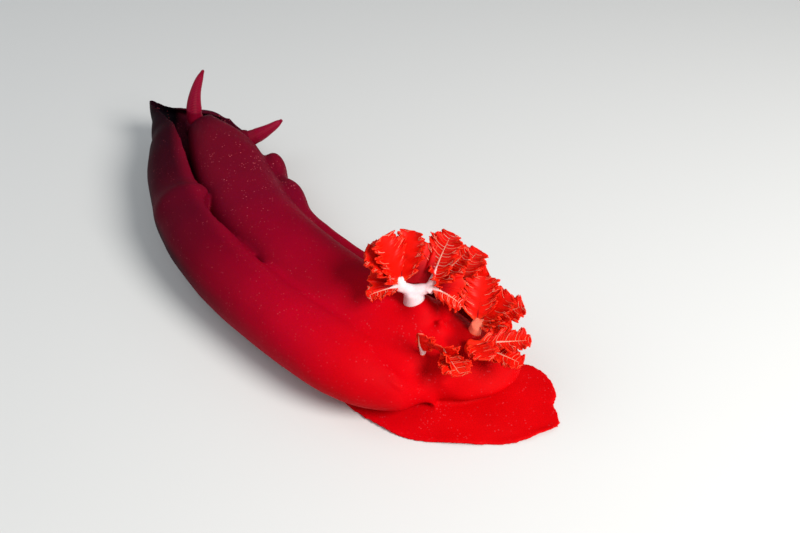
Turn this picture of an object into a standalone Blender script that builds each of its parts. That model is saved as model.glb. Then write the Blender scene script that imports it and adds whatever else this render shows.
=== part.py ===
"""Spanish dancer sea slug crawling over the sea floor, life size, as a still museum model.

The animal is drawn straight first: x runs to its right, s along its midline towards the head, z up, all
in millimetres. The function bend() then curves the midline into the arc that the animal crawls on and
returns metres. The origin is on the sole under the middle of the body.
"""

import math

import bmesh
import bpy
import numpy as np
from mathutils import Vector

# The midline's arc: the animal bends to its right
MIDLINE_RADIUS = 237.0
GAP = 0.4  # between pieces that touch

# Trunk, which carries the smooth back inside the rolled margin
TRUNK_REAR, TRUNK_FRONT = -121.0, 164.0
TRUNK_HALF_WIDTH = 25.0
REAR_ROUND = (44.0, 2.0)  # length over which the outline rounds off, and the power of its curve
FRONT_ROUND = {-1: (19.0, 2.0), 1: (80.0, 1.7)}  # the head turns, so its right side tapers over a longer way
BACK_HEIGHT = [(-121, 24), (-110, 29), (-94, 33), (-60, 38), (-20, 41), (100, 42), (132, 42),
               (149, 38), (158, 30), (166, 24), (180, 20.5), (200, 20)]
BROW_X, BROW_SLANT = -9.0, 1.1  # right of this the front of the back falls off earlier
BACK_SQUARENESS = 2.6
FLANK_TOP = 12.5  # the flank is upright up to this height
HEAD_RISE = {-1: 7.5, 1: 2.0}  # how much higher the mantle springs over the head
TRUNK_STEPS = 13
TRUNK_CUTS = [-50.0, 45.0, 112.0]
TRUNK_NAMES = ["notum_rear", "notum_middle", "notum_front", "neck"]

# Foot: a flat sole with a thin spread margin and a ragged tail
SOLE_THICKNESS = 4.0
MARGIN_THICKNESS = 1.2
FOOT_REAR, FOOT_FRONT = -149.0, 150.0
FOOT_LEFT = [(-149, 20), (-144, 25), (-136, 31), (-124, 36), (-110, 41), (-92, 46), (-78, 45),
             (-60, 41), (-38, 33), (0, 28), (100, 26), (128, 22), (142, 15), (150, 3)]
FOOT_RIGHT = [(-149, 11), (-145, 15), (-139, 18), (-130, 19), (-112, 25), (-92, 31), (-60, 31),
              (-20, 29), (0, 28), (100, 24), (128, 17), (142, 10), (150, 3)]
TAIL_START = -118.0  # behind this the foot stretches out to its ragged end
TAIL_LOBES = [(-14, 5.0, 6.0), (-5, -1.5, 2.5), (3, 2.5, 4.5)]  # x, extra length, half width
FOOT_CUTS = [-58.0, 52.0]
FOOT_NAMES = ["foot_tail", "foot_middle", "foot_front"]

# Mantle margin: a sheet that springs from the trunk's flank and curls up and over.
# Each row is side, s, outward reach, height of its top, and the angle at which its free edge ends.
ROOT_HEIGHT = 9.5
ROOT_THICKNESS, EDGE_THICKNESS = 4.2, 1.7
CURL_START = math.radians(-120)
NORMAL_SPAN = 3.0  # the outline's direction is taken over this much to each side
MARGIN = [
    (-1, -119.5, 5.5, 14.5, 96),
    (-1, -113, 2.5, 14.5, 92),
    (-1, -106, 2.5, 14.5, 90),
    (-1, -98, 2.5, 15, 86),
    (-1, -93, 9, 20, 76),
    (-1, -87, 15.5, 27, 68),
    (-1, -80, 21, 32, 84),
    (-1, -72, 25, 35.5, 108),
    (-1, -60, 27, 38, 126),
    (-1, -38, 26.5, 40, 132),
    (-1, 0, 25.5, 42, 134),
    (-1, 60, 27, 42.5, 136),
    (-1, 86, 24.5, 41, 121),
    (-1, 108, 23.5, 41, 119),
    (-1, 128, 21.5, 41, 106),
    (-1, 143, 21, 39, 82),
    (-1, 149.5, 24.5, 37.5, 56),
    (-1, 153, 31, 36, 10),
    (-1, 154.6, 26.5, 31, 22),
    (-1, 158, 20, 28, 54),
    (-1, 162.5, 12, 25, 76),
    (1, 162, 4, 17, 78),
    (1, 150, 3, 14.5, 80),
    (1, 128, 3, 15.5, 92),
    (1, 118, 5, 21, 108),
    (1, 102, 8.5, 31, 124),
    (1, 84, 5.5, 26, 118),
    (1, 64, 8.5, 31, 126),
    (1, 44, 6, 27, 120),
    (1, 20, 7, 27, 124),
    (1, -50, 7.5, 27, 124),
    (1, -95, 8, 25, 112),
    (1, -110, 9, 20, 106),
    (1, -118.5, 11.5, 16, 100),
]
MARGIN_STEPS, MARGIN_SPACING, MARGIN_TURN = 8, 8.4, 0.23
CORNER = (-1, 153.0, 2.5, 1.3)  # the brim's pointed corner: side, s, half width and spacing of its stations
RUFFLE_HEIGHT = 0.3
RUFFLE_COUNT = 31
EAR = (-1, 69.0, 5.0, 2.0, 16.0)  # a small fold of the left edge: side, s, half length, rise, extra curl
MARGIN_CUTS = [(-1, -99.5), (-1, -22.0), (-1, 62.0), (-1, 139.0),
               (1, 150.0), (1, 68.0), (1, -20.0), (1, -106.0)]
MARGIN_NAMES = ["mantle_left_rear", "mantle_left_middle", "mantle_left_front", "mantle_front",
                "mantle_right_front", "mantle_right_middle", "mantle_right_rear", "mantle_tail"]

# Rhinophores: base x and s, then the straight run to the tip and the bow added towards the tip
RHINOPHORES = {"rhinophore_left": ((-19.5, 154.0), (-2.5, 0.0, 37.0), (13.0, 0.0, 1.0)),
               "rhinophore_right": ((13.0, 138.0), (26.0, 2.0, 7.0), (-2.0, -2.0, 5.5))}
RHINOPHORE_RADII = [(0.0, 5.3), (0.3, 4.5), (0.6, 3.2), (0.85, 2.1), (1.0, 1.0)]
RHINOPHORE_SINK = 9.0
LAMELLA_START, LAMELLA_END, LAMELLA_COUNT = 0.28, 0.93, 9
SHEATH_RADIUS, SHEATH_HEIGHT = 6.6, 2.4
BORE_SIDES = 16

# Head, mouth and oral tentacles under the front of the mantle
HEAD_CENTRE = (-5.0, 149.0, 5.4)
HEAD_HALF = (13.0, 13.0, 4.8)
MOUTH_RADIUS, LIP_RADIUS = 2.9, 1.0
TENTACLE_LENGTH, TENTACLE_WIDTH = 12.0, 10.0
TENTACLE_SPREAD = math.radians(24)  # from straight ahead
TENTACLE_SECTIONS = [(0.0, 0.42, 1.6), (0.3, 0.62, 1.3), (0.6, 0.92, 1.0), (0.85, 1.0, 0.8), (1.0, 0.7, 0.5)]
TENTACLE_EDGE = [(-1, 0.2), (-0.5, 1), (0.5, 1), (1, 0.2)]  # shares of a section's half width and thickness
TENTACLE_FINGERS = 5
FINGER_RADII = [1.1, 0.9, 0.4]

# Gills: six branched tufts in a ring around the anal papilla
GILL_CENTRE = (-1.0, -91.0)
GILL_RING_RADIUS = 16.0
STALK_SINK, STALK_LEAN = 5.0, 0.35
PAPILLA_RADIUS, PAPILLA_HEIGHT, PAPILLA_SIDES = 2.6, 6.0, 12
# Angle on the ring, stalk height and radius, then the plumes: azimuth, elevation, length, width, droop
GILLS = {
    "gill_1": (65, 9.0, 5.6, [(146, 22, 31, 13, 22), (122, 62, 36, 24, 20), (96, 78, 36, 21, 20),
                              (52, 78, 36, 21, 18), (-14, 60, 37, 22, 24), (-40, 34, 33, 21, 22)]),
    "gill_2": (14, 6.5, 3.0, [(-16, 42, 31, 22, 24), (-52, 30, 27, 20, 20), (104, 76, 24, 19, 20)]),
    "gill_3": (-62, 7.0, 3.8, [(24, 70, 29, 20, 20), (-46, 50, 25, 19, 26), (-66, 36, 28, 19, 26),
                               (-84, 16, 20, 12, 14)]),
    "gill_4": (-102, 6.0, 3.2, [(-80, 20, 30, 15, 16), (-103, 10, 28, 14, 12), (-138, 32, 19, 14, 22)]),
    "gill_5": (-150, 5.0, 3.0, [(-152, 32, 23, 15, 20), (172, 56, 22, 15, 18)]),
    "gill_6": (174, 3.5, 2.0, [(153, 84, 21, 10, 12)]),
}
# Walls that keep neighbouring gills apart: the two gills, angle from the ring's centre, and tilt
GILL_WALLS = [("gill_1", "gill_2", 40, 40), ("gill_2", "gill_3", -36, 0),
              ("gill_3", "gill_4", -77, 0), ("gill_4", "gill_5", -134, 0),
              ("gill_5", "gill_6", -166, 0), ("gill_6", "gill_1", 148, 0)]
WALL_PIVOT_HEIGHT, WALL_REACH = 37.0, 110.0
STEM_HALF_WIDTH, STEM_THICKNESS, RIB_END_THICKNESS, LEAF_THICKNESS = 1.6, 3.2, 1.2, 0.7
LEAF_START = 0.20  # share of a plume that is bare stem
LEAF_LOBES = 5  # on each side
LOBE_OUTLINE = [(0.0, 0.38), (0.22, 0.96), (0.72, 1.0)]  # share of a lobe's length, half width
LEAF_ENVELOPE = [(0.20, 0.60), (0.42, 0.95), (0.66, 1.0), (0.86, 0.74), (1.0, 0.26)]
LEAF_SWEEP, LEAF_CUP, LEAF_RUFFLE = 0.55, 0.22, 0.13

FLESH = ("flesh", (0.42, 0.008, 0.012, 1.0), 0.38)
FOOT_FLESH = ("foot_flesh", (0.52, 0.006, 0.010, 1.0), 0.40)
GILL_TISSUE = ("gill_tissue", (0.75, 0.045, 0.020, 1.0), 0.45)
HORN_FLESH = ("rhinophore_flesh", (0.36, 0.010, 0.030, 1.0), 0.42)


# Small helpers for curves given by a few stations


def smooth_step(low, high, value):
    t = np.clip((value - low) / (high - low), 0.0, 1.0)
    return t * t * (3 - 2 * t)


def bell(value, centre, half_width):
    return math.exp(-((value - centre) / half_width) ** 2)


def through(stations, value):
    """A smooth curve through (position, value) stations, flat beyond its ends."""
    xs = np.array([a for a, _ in stations], float)
    ys = np.array([b for _, b in stations], float)
    slopes = np.gradient(ys, xs)
    slopes[0] = slopes[-1] = 0.0
    v = float(np.clip(value, xs[0], xs[-1]))
    i = int(min(np.searchsorted(xs, v, side="right") - 1, len(xs) - 2))
    h = xs[i + 1] - xs[i]
    t = (v - xs[i]) / h
    return ((2 * t**3 - 3 * t**2 + 1) * ys[i] + (t**3 - 2 * t**2 + t) * h * slopes[i]
            + (-2 * t**3 + 3 * t**2) * ys[i + 1] + (t**3 - t**2) * h * slopes[i + 1])


def bend(x, s, z):
    """A point of the straight animal, in millimetres, on the curved one, in metres."""
    angle = s / MIDLINE_RADIUS
    radius = MIDLINE_RADIUS - x
    return Vector((MIDLINE_RADIUS - radius * math.cos(angle), radius * math.sin(angle), z)) * 0.001


# Scene, materials and mesh building


def clear_scene():
    for old in list(bpy.data.objects):
        bpy.data.objects.remove(old, do_unlink=True)


def material(look):
    name, colour, roughness = look
    made = bpy.data.materials.get(name)
    if made is None:
        made = bpy.data.materials.new(name)
        made.use_nodes = True
        shader = made.node_tree.nodes["Principled BSDF"]
        shader.inputs["Base Color"].default_value = colour
        shader.inputs["Roughness"].default_value = roughness
        shader.inputs["Metallic"].default_value = 0.0
    return made


def add_object(name, mesh_bm, look, collection):
    """A named object from a bmesh whose points are in straight millimetres."""
    for vert in mesh_bm.verts:
        vert.co = bend(*vert.co)
    bmesh.ops.triangulate(mesh_bm, faces=mesh_bm.faces)
    bmesh.ops.recalc_face_normals(mesh_bm, faces=mesh_bm.faces)
    mesh = bpy.data.meshes.new(name)
    mesh_bm.to_mesh(mesh)
    mesh_bm.free()
    mesh.materials.append(material(look))
    mesh.shade_smooth()
    mesh.set_sharp_from_angle(angle=math.radians(50))
    made = bpy.data.objects.new(name, mesh)
    collection.objects.link(made)
    return made


def loft(mesh_bm, rings):
    """Joins closed rings of equal count. Both halves of a ring are split along matching diagonals, so that
    a thin sheet keeps its thickness, and each end is closed by a strip between the two halves."""
    rows = [[mesh_bm.verts.new(p) for p in ring] for ring in rings]
    count = len(rings[0])
    half = count // 2
    for near, far in zip(rows, rows[1:]):
        for j in range(count):
            k = (j + 1) % count
            if j < half:
                mesh_bm.faces.new((near[j], near[k], far[k]))
                mesh_bm.faces.new((near[j], far[k], far[j]))
            else:
                mesh_bm.faces.new((near[j], near[k], far[j]))
                mesh_bm.faces.new((near[k], far[k], far[j]))
    for row in (rows[0], rows[-1]):
        for j in range(half - 1):
            mesh_bm.faces.new((row[j], row[j + 1], row[count - 2 - j], row[count - 1 - j]))


def tube(mesh_bm, points, radii, sides):
    """A round tube along straight-frame points."""
    path = [Vector(p) for p in points]
    rings = []
    side = None
    for i, point in enumerate(path):
        along = (path[min(i + 1, len(path) - 1)] - path[max(i - 1, 0)]).normalized()
        if side is None:
            side = along.orthogonal().normalized()
        side = (side - along * side.dot(along)).normalized()
        other = along.cross(side)
        rings.append([point + (side * math.cos(a) + other * math.sin(a)) * radii[i]
                      for a in (2 * math.pi * k / sides for k in range(sides))])
    loft(mesh_bm, rings)


def stations_between(start, end, step):
    count = max(1, round(abs(end - start) / step))
    return [start + (end - start) * k / count for k in range(count + 1)]


def largest_body(obj):
    """Keeps only the object's largest closed surface."""
    mesh_bm = bmesh.new()
    mesh_bm.from_mesh(obj.data)
    left = set(mesh_bm.verts)
    bodies = []
    while left:
        stack = [left.pop()]
        body = set(stack)
        while stack:
            for edge in stack.pop().link_edges:
                for vert in edge.verts:
                    if vert not in body:
                        body.add(vert)
                        left.discard(vert)
                        stack.append(vert)
        size = [max(v.co[i] for v in body) - min(v.co[i] for v in body) for i in range(3)]
        bodies.append((size[0] * size[1] + size[1] * size[2] + size[0] * size[2], len(bodies), body))
    bodies.sort(key=lambda b: (b[0], b[1]))
    for _, _, body in bodies[:-1]:
        bmesh.ops.delete(mesh_bm, geom=list(body), context="VERTS")
    mesh_bm.to_mesh(obj.data)
    mesh_bm.free()


def apply_modifiers(obj):
    graph = bpy.context.evaluated_depsgraph_get()
    mesh = bpy.data.meshes.new_from_object(obj.evaluated_get(graph))
    obj.modifiers.clear()
    obj.data = mesh


def fuse(obj, pieces):
    """One Boolean union of an object with a collection of closed pieces, which are then removed."""
    group = bpy.data.collections.new("pieces_of_" + obj.name)
    bpy.context.scene.collection.children.link(group)
    for piece in pieces:
        for owner in list(piece.users_collection):
            owner.objects.unlink(piece)
        group.objects.link(piece)
    union = obj.modifiers.new("union", "BOOLEAN")
    union.operation = "UNION"
    union.operand_type = "COLLECTION"
    union.collection = group
    union.solver = "MANIFOLD"
    apply_modifiers(obj)
    for piece in list(group.objects):
        bpy.data.objects.remove(piece, do_unlink=True)
    bpy.data.collections.remove(group)
    largest_body(obj)


def cut(obj, cutters):
    for cutter in cutters:
        difference = obj.modifiers.new("cut", "BOOLEAN")
        difference.operation = "DIFFERENCE"
        difference.object = cutter
        difference.solver = "MANIFOLD"
    apply_modifiers(obj)
    largest_body(obj)


# Trunk


def rear_share(s):
    """Share of the full half width that the rounded rear end leaves."""
    length, power = REAR_ROUND
    share = min(1.0, max(0.0, (TRUNK_REAR + length - s) / length))
    return (1 - share**power) ** (1 / power)


def trunk_half_width(s, side):
    length, power = FRONT_ROUND[side]
    share = min(1.0, max(0.0, (s - TRUNK_FRONT + length) / length))
    return max(1.2, TRUNK_HALF_WIDTH * rear_share(s) * (1 - share**power) ** (1 / power))


def head_rise(s, side):
    return HEAD_RISE[side] * float(smooth_step(128, 156, s))


def trunk_bottom(s):
    return SOLE_THICKNESS + GAP + 4.2 * float(smooth_step(134, 156, s))


def back_rise(x, s):
    """How far the crest of the back stands above the flank, seen from x."""
    flank = FLANK_TOP + head_rise(s, 1 if x > 0 else -1)
    ahead = s + BROW_SLANT * max(0.0, x - BROW_X) * float(smooth_step(60, 120, s))
    return (through(BACK_HEIGHT, ahead) - flank) * (0.30 + 0.70 * rear_share(s) ** 0.8)


def back_surface(x, s):
    """Height of the trunk's surface above a point, or None outside its flanks."""
    side = 1 if x > 0 else -1
    half = trunk_half_width(s, side)
    if abs(x) >= half:
        return None
    share = 1 - (abs(x) / half) ** BACK_SQUARENESS
    return FLANK_TOP + head_rise(s, side) + back_rise(x, s) * share ** (1 / BACK_SQUARENESS)


def trunk_ring(s, grow=0.0):
    bottom = trunk_bottom(s) - grow
    power = 2 / BACK_SQUARENESS
    ring = []
    for k in range(TRUNK_STEPS + 1):
        angle = math.pi * (1 - k / TRUNK_STEPS)
        across, up = math.cos(angle), math.sin(angle)
        side = 1 if across > 0 else -1
        half = trunk_half_width(s, side)
        x = math.copysign(abs(across) ** power, across) * half
        flank = FLANK_TOP + head_rise(s, side)
        height = flank + (back_rise(x, s) + grow) * abs(up) ** power
        ring.append((x * (half + grow) / half, s, height))
    return [(ring[0][0], s, bottom)] + ring + [(ring[-1][0], s, bottom)]


def trunk_stations(start, end):
    """Stations along the trunk, closer together where its ends round off."""
    marks = []
    rear, front = REAR_ROUND[0], FRONT_ROUND[-1][0]
    for k in range(9):
        marks.append(TRUNK_REAR + rear * (1 - math.cos(math.pi / 2 * k / 8)))
        marks.append(TRUNK_FRONT - front * (1 - math.cos(math.pi / 2 * k / 8)))
    marks += stations_between(TRUNK_REAR + rear, TRUNK_FRONT - front, 11.0)[1:-1]
    inside = [m for m in sorted(marks) if start + 1.0 < m < end - 1.0]
    return [start] + inside + [end]


def build_trunk(collection):
    limits = [TRUNK_REAR] + TRUNK_CUTS + [TRUNK_FRONT]
    for name, start, end in zip(TRUNK_NAMES, limits, limits[1:]):
        first = start if start == TRUNK_REAR else start + GAP / 2
        last = end if end == TRUNK_FRONT else end - GAP / 2
        mesh_bm = bmesh.new()
        loft(mesh_bm, [trunk_ring(s) for s in trunk_stations(first, last)])
        add_object(name, mesh_bm, FLESH, collection)


def trunk_cutter(collection):
    """The whole trunk grown by the gap, for cutting what stands on it."""
    mesh_bm = bmesh.new()
    loft(mesh_bm, [trunk_ring(s, GAP) for s in trunk_stations(TRUNK_REAR - GAP, TRUNK_FRONT + GAP)])
    return add_object("trunk_cutter", mesh_bm, FLESH, collection)


# Foot


def tail_end(x):
    """How far back the ragged tail reaches at x."""
    return FOOT_REAR - sum(extra * bell(x, at, half) for at, extra, half in TAIL_LOBES)


def foot_ring(s):
    left, right = through(FOOT_LEFT, s), through(FOOT_RIGHT, s)
    top, bottom = [], []
    steps = 10
    for k in range(steps + 1):
        share = 2 * k / steps - 1
        share = math.copysign(abs(share) ** 0.8, share)
        x = share * (left if share < 0 else right)
        rim = float(smooth_step(0.72, 1.0, abs(share)))
        slope = float(smooth_step(0.55, 1.0, abs(share)))
        if s < TRUNK_REAR:
            slope = max(slope, float(smooth_step(TRUNK_REAR, FOOT_REAR, s)))
        thick = SOLE_THICKNESS + (MARGIN_THICKNESS - SOLE_THICKNESS) * slope
        if s < TAIL_START:
            stretch = (tail_end(x) - TAIL_START) / (FOOT_REAR - TAIL_START)
            along = TAIL_START + (s - TAIL_START) * stretch
        else:
            along = s
        wave = 0.6 * (1 + math.sin(s * 0.19 + 2.0 * share)) * rim
        top.append((x, along, thick + wave))
        bottom.append((x, along, wave))
    return top + bottom[::-1]


def build_foot(collection):
    limits = [FOOT_REAR] + FOOT_CUTS + [FOOT_FRONT]
    for name, start, end in zip(FOOT_NAMES, limits, limits[1:]):
        first = start if start == FOOT_REAR else start + GAP / 2
        last = end if end == FOOT_FRONT else end - GAP / 2
        step = 6.5 if name == "foot_tail" else 9.5
        mesh_bm = bmesh.new()
        loft(mesh_bm, [foot_ring(s) for s in stations_between(first, last, step)])
        add_object(name, mesh_bm, FOOT_FLESH, collection)


# Mantle margin


class Outline:
    """The trunk's outline at root height, measured along its length from the rear end, up the left side."""

    def __init__(self):
        rear, front = REAR_ROUND[0], FRONT_ROUND[-1][0]
        marks = np.concatenate([
            TRUNK_REAR + rear * (1 - np.cos(np.linspace(0, math.pi / 2, 60))),
            np.linspace(TRUNK_REAR + rear, TRUNK_FRONT - front, 200)[1:-1],
            TRUNK_FRONT - front * (1 - np.cos(np.linspace(math.pi / 2, 0, 60))),
        ])
        left = np.array([trunk_half_width(s, -1) for s in marks])
        right = np.array([trunk_half_width(s, 1) for s in marks])
        self.x = np.concatenate([-left, right[::-1]])
        self.s = np.concatenate([marks, marks[::-1]])
        steps = np.hypot(np.diff(self.x), np.diff(self.s))
        self.along = np.concatenate([[0.0], np.cumsum(steps)])
        self.length = float(self.along[-1]) + float(self.x[-1] - self.x[0])
        self.count = len(marks)

    def at(self, side, s):
        """Distance along the outline of the point beside s."""
        n = self.count
        if side < 0:
            return float(np.interp(s, self.s[:n], self.along[:n]))
        return float(np.interp(-s, -self.s[n:], self.along[n:]))

    def point(self, distance):
        d = distance % self.length
        along = np.append(self.along, self.length)
        return float(np.interp(d, along, np.append(self.x, self.x[0]))), float(
            np.interp(d, along, np.append(self.s, self.s[0])))

    def normal(self, distance):
        x0, s0 = self.point(distance - NORMAL_SPAN)
        x1, s1 = self.point(distance + NORMAL_SPAN)
        length = math.hypot(x1 - x0, s1 - s0)
        return -(s1 - s0) / length, (x1 - x0) / length


OUTLINE = Outline()


def margin_table():
    """MARGIN as distances along the outline, repeated once round so that curves close smoothly."""
    rows = sorted((OUTLINE.at(side, s), reach, top, end) for side, s, reach, top, end in MARGIN)
    around = OUTLINE.length
    return [(d - around, *v) for d, *v in rows[-3:]] + rows + [(d + around, *v) for d, *v in rows[:3]]


TABLE = margin_table()


def margin_value(distance, column):
    return through([(row[0], row[column]) for row in TABLE], distance % OUTLINE.length)


def margin_profile(distance, steps, grow=0.0):
    """Outer and inner lines of the curled sheet at one place on the outline, from root to free edge."""
    side, ear_s, ear_half, ear_rise, ear_curl = EAR
    ear = bell(distance, OUTLINE.at(side, ear_s), ear_half)
    reach = margin_value(distance, 1)
    top = margin_value(distance, 2) + RUFFLE_HEIGHT * math.sin(
        RUFFLE_COUNT * 2 * math.pi * distance / OUTLINE.length)
    end = math.radians(margin_value(distance, 3) + ear_curl * ear)
    x0, s0 = OUTLINE.point(distance)
    nx, ns = OUTLINE.normal(distance)
    rise = float(np.interp(x0, (-6.0, 6.0), (head_rise(s0, -1), head_rise(s0, 1))))
    root = ROOT_HEIGHT + rise
    a = reach / (1 - math.cos(CURL_START))
    b = (top + ear_rise * ear - root) / (math.sin(min(end, math.pi / 2)) - math.sin(CURL_START))
    centre_out, centre_up = -a * math.cos(CURL_START), root - b * math.sin(CURL_START)
    outer, inner = [], []
    for k in range(steps + 1):
        share = k / steps
        angle = CURL_START + (end - CURL_START) * share
        out, up = centre_out + a * math.cos(angle), centre_up + b * math.sin(angle)
        tangent = Vector((-a * math.sin(angle), b * math.cos(angle))).normalized()
        thick = (ROOT_THICKNESS + (EDGE_THICKNESS - ROOT_THICKNESS) * share) / 2 + grow
        if k == 0:
            pair = [(GAP - grow, root - thick), (GAP - grow, root + thick)]
        else:
            across = Vector((tangent.y, -tangent.x)) * thick
            pair = [(out + across.x, up + across.y), (out - across.x, up - across.y)]
        lift = 0.0
        for o, u in pair:
            under = back_surface(x0 + nx * o, s0 + ns * o)
            if k > steps // 2 and under is not None:
                lift = max(lift, under + 2 * GAP - u)
        outer.append((x0 + nx * pair[0][0], s0 + ns * pair[0][0], pair[0][1] + lift))
        inner.append((x0 + nx * pair[1][0], s0 + ns * pair[1][0], pair[1][1] + lift))
    return outer, inner


def margin_stations(start, end):
    """Distances along the outline, closer together where it turns."""
    marks = np.linspace(start, end, 400)
    headings = np.unwrap([math.atan2(*OUTLINE.normal(d)) for d in marks])
    side, corner, half_width, spacing = CORNER
    near_corner = np.exp(-((marks[1:] - OUTLINE.at(side, corner)) / half_width) ** 2)
    cost = np.diff(marks) * (1 / MARGIN_SPACING + near_corner / spacing)
    cost += np.abs(np.diff(headings)) / MARGIN_TURN
    total = np.concatenate([[0.0], np.cumsum(cost)])
    count = math.ceil(total[-1])
    return [float(np.interp(total[-1] * k / count, total, marks)) for k in range(count + 1)]


def margin_piece(name, piece, collection, grow=0.0):
    """One stretch of the margin, or the same stretch grown by the gap for cutting what lies beside it."""
    cuts = [OUTLINE.at(side, s) for side, s in MARGIN_CUTS]
    index = MARGIN_NAMES.index(piece)
    start, end = cuts[index], (cuts + [cuts[0] + OUTLINE.length])[index + 1]
    rings = []
    for distance in margin_stations(start + GAP / 2 - grow, end - GAP / 2 + grow):
        outer, inner = margin_profile(distance, MARGIN_STEPS, grow)
        rings.append(outer + inner[::-1])
    mesh_bm = bmesh.new()
    loft(mesh_bm, rings)
    return add_object(name, mesh_bm, FLESH, collection)


def build_margin(collection):
    for name in MARGIN_NAMES:
        margin_piece(name, name, collection)


# Rhinophores


def build_rhinophores(collection, trunk):
    brim = margin_piece("brim_cutter", "mantle_front", collection, GAP)
    for name, ((x, s), run, bow) in RHINOPHORES.items():
        base, run, bow = Vector((x, s, back_surface(x, s))), Vector(run), Vector(bow)
        along = run.normalized()
        length = run.length

        def axis(share):
            return base + run * share + bow * max(0.0, share) * abs(share)

        points, radii = [axis(-RHINOPHORE_SINK / length), axis(0.0), axis(LAMELLA_START)], []
        for share in (0.0, 0.0, LAMELLA_START):
            radii.append(through(RHINOPHORE_RADII, share))
        for k in range(LAMELLA_COUNT):
            for part, swell in ((0.2, 0.9), (0.7, 1.1)):
                share = LAMELLA_START + (LAMELLA_END - LAMELLA_START) * (k + part) / LAMELLA_COUNT
                points.append(axis(share))
                radii.append(through(RHINOPHORE_RADII, share) * swell)
        points.append(axis(1.0))
        radii.append(RHINOPHORE_RADII[-1][1])
        mesh_bm = bmesh.new()
        tube(mesh_bm, points, radii, 8)
        horn = add_object(name, mesh_bm, HORN_FLESH, collection)

        rim = base + along * SHEATH_HEIGHT
        mesh_bm = bmesh.new()
        tube(mesh_bm, [base - along * 7, base + along * 0.4, rim],
             [SHEATH_RADIUS + 1.4, SHEATH_RADIUS, SHEATH_RADIUS - 0.9], 14)
        sheath = add_object(name.replace("rhinophore", "rhinophore_sheath"), mesh_bm, FLESH, collection)
        mesh_bm = bmesh.new()
        tube(mesh_bm, [base - along * 14, rim + along * 6], [RHINOPHORE_RADII[0][1] + GAP] * 2, BORE_SIDES)
        bore = add_object("bore", mesh_bm, FLESH, collection)
        cut(horn, [trunk, brim])
        cut(sheath, [trunk, bore, brim])
        bpy.data.objects.remove(bore, do_unlink=True)
    bpy.data.objects.remove(brim, do_unlink=True)


# Head and oral tentacles


def head_ball(name, grow, collection):
    mesh_bm = bmesh.new()
    bmesh.ops.create_uvsphere(mesh_bm, u_segments=16, v_segments=10, radius=1.0)
    for vert in mesh_bm.verts:
        vert.co = Vector(HEAD_CENTRE) + Vector(c * (h + grow) for c, h in zip(vert.co, HEAD_HALF))
    return add_object(name, mesh_bm, FLESH, collection)


def build_head(collection, trunk):
    head = head_ball("head", 0.0, collection)
    mouth = Vector(HEAD_CENTRE) + Vector((0.0, HEAD_HALF[1] - 1.84, -1.0))
    lips = []
    for side in (-1, 1):
        mesh_bm = bmesh.new()
        points = [mouth + Vector((side * 0.9 * MOUTH_RADIUS * math.sin(a), 0.64 * math.sin(a),
                                  MOUTH_RADIUS * math.cos(a)))
                  for a in (math.pi * k / 4 for k in range(5))]
        tube(mesh_bm, points, [LIP_RADIUS] * 5, 6)
        lips.append(add_object("lip", mesh_bm, FLESH, collection))
    fuse(head, lips)
    mesh_bm = bmesh.new()
    loft(mesh_bm, [foot_ring(s) for s in stations_between(110.0, FOOT_FRONT, 6.0)])
    for vert in mesh_bm.verts:
        vert.co.y += GAP
        vert.co.z += GAP if vert.co.z > SOLE_THICKNESS / 3 else -2.0
        vert.co.x *= 1.03
    sole = add_object("sole_cutter", mesh_bm, FLESH, collection)
    cut(head, [trunk, sole])
    bpy.data.objects.remove(sole, do_unlink=True)


def build_tentacles(collection):
    """Two flat lobes beside the mouth, each with short fingers round its edge."""
    head = head_ball("head_cutter", GAP, collection)
    for side, name in ((-1, "oral_tentacle_left"), (1, "oral_tentacle_right")):
        root = Vector(HEAD_CENTRE) + Vector((side * (HEAD_HALF[0] - 1.5), 6.0, -1.0))
        along = Vector((side * math.sin(TENTACLE_SPREAD), math.cos(TENTACLE_SPREAD), 0.0))
        across = Vector((-along.y * side, along.x * side, 0.0))
        rings = []
        for share, width, thick in TENTACLE_SECTIONS:
            middle = root + along * TENTACLE_LENGTH * 0.72 * share
            half = TENTACLE_WIDTH / 2 * width
            top = [middle + across * half * c + Vector((0, 0, thick * t)) for c, t in TENTACLE_EDGE]
            low = [middle + across * half * c - Vector((0, 0, thick * t)) for c, t in TENTACLE_EDGE]
            rings.append(top + low[::-1])
        mesh_bm = bmesh.new()
        loft(mesh_bm, rings)
        lobe = add_object(name, mesh_bm, FLESH, collection)
        fingers = []
        for k in range(TENTACLE_FINGERS):
            spread = math.radians(-78 + 156 * k / (TENTACLE_FINGERS - 1))
            out = along * math.cos(spread) + across * math.sin(spread)
            start = root + along * TENTACLE_LENGTH * 0.42 + out * TENTACLE_WIDTH * 0.22
            reach = TENTACLE_LENGTH * (0.42 + 0.14 * math.cos(spread))
            mesh_bm = bmesh.new()
            tube(mesh_bm, [start, start + out * reach * 0.6, start + out * reach], FINGER_RADII, 4)
            fingers.append(add_object("finger", mesh_bm, FLESH, collection))
        fuse(lobe, fingers)
        cut(lobe, [head])
    bpy.data.objects.remove(head, do_unlink=True)


# Gills


def direction(azimuth, elevation):
    a, e = math.radians(azimuth), math.radians(elevation)
    return Vector((math.cos(a) * math.cos(e), math.sin(a) * math.cos(e), math.sin(e)))


def rachis(start, plume, share):
    """Point and direction at a share of a plume's main stem, which droops towards its tip."""
    azimuth, elevation, length, _, droop = plume
    first, turn = math.radians(elevation), math.radians(droop)
    now = first - turn * share
    run = length * (math.sin(first) - math.sin(now)) / turn
    rise = length * (math.cos(now) - math.cos(first)) / turn
    return start + direction(azimuth, 0) * run + Vector((0, 0, rise)), direction(azimuth, math.degrees(now))


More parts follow.
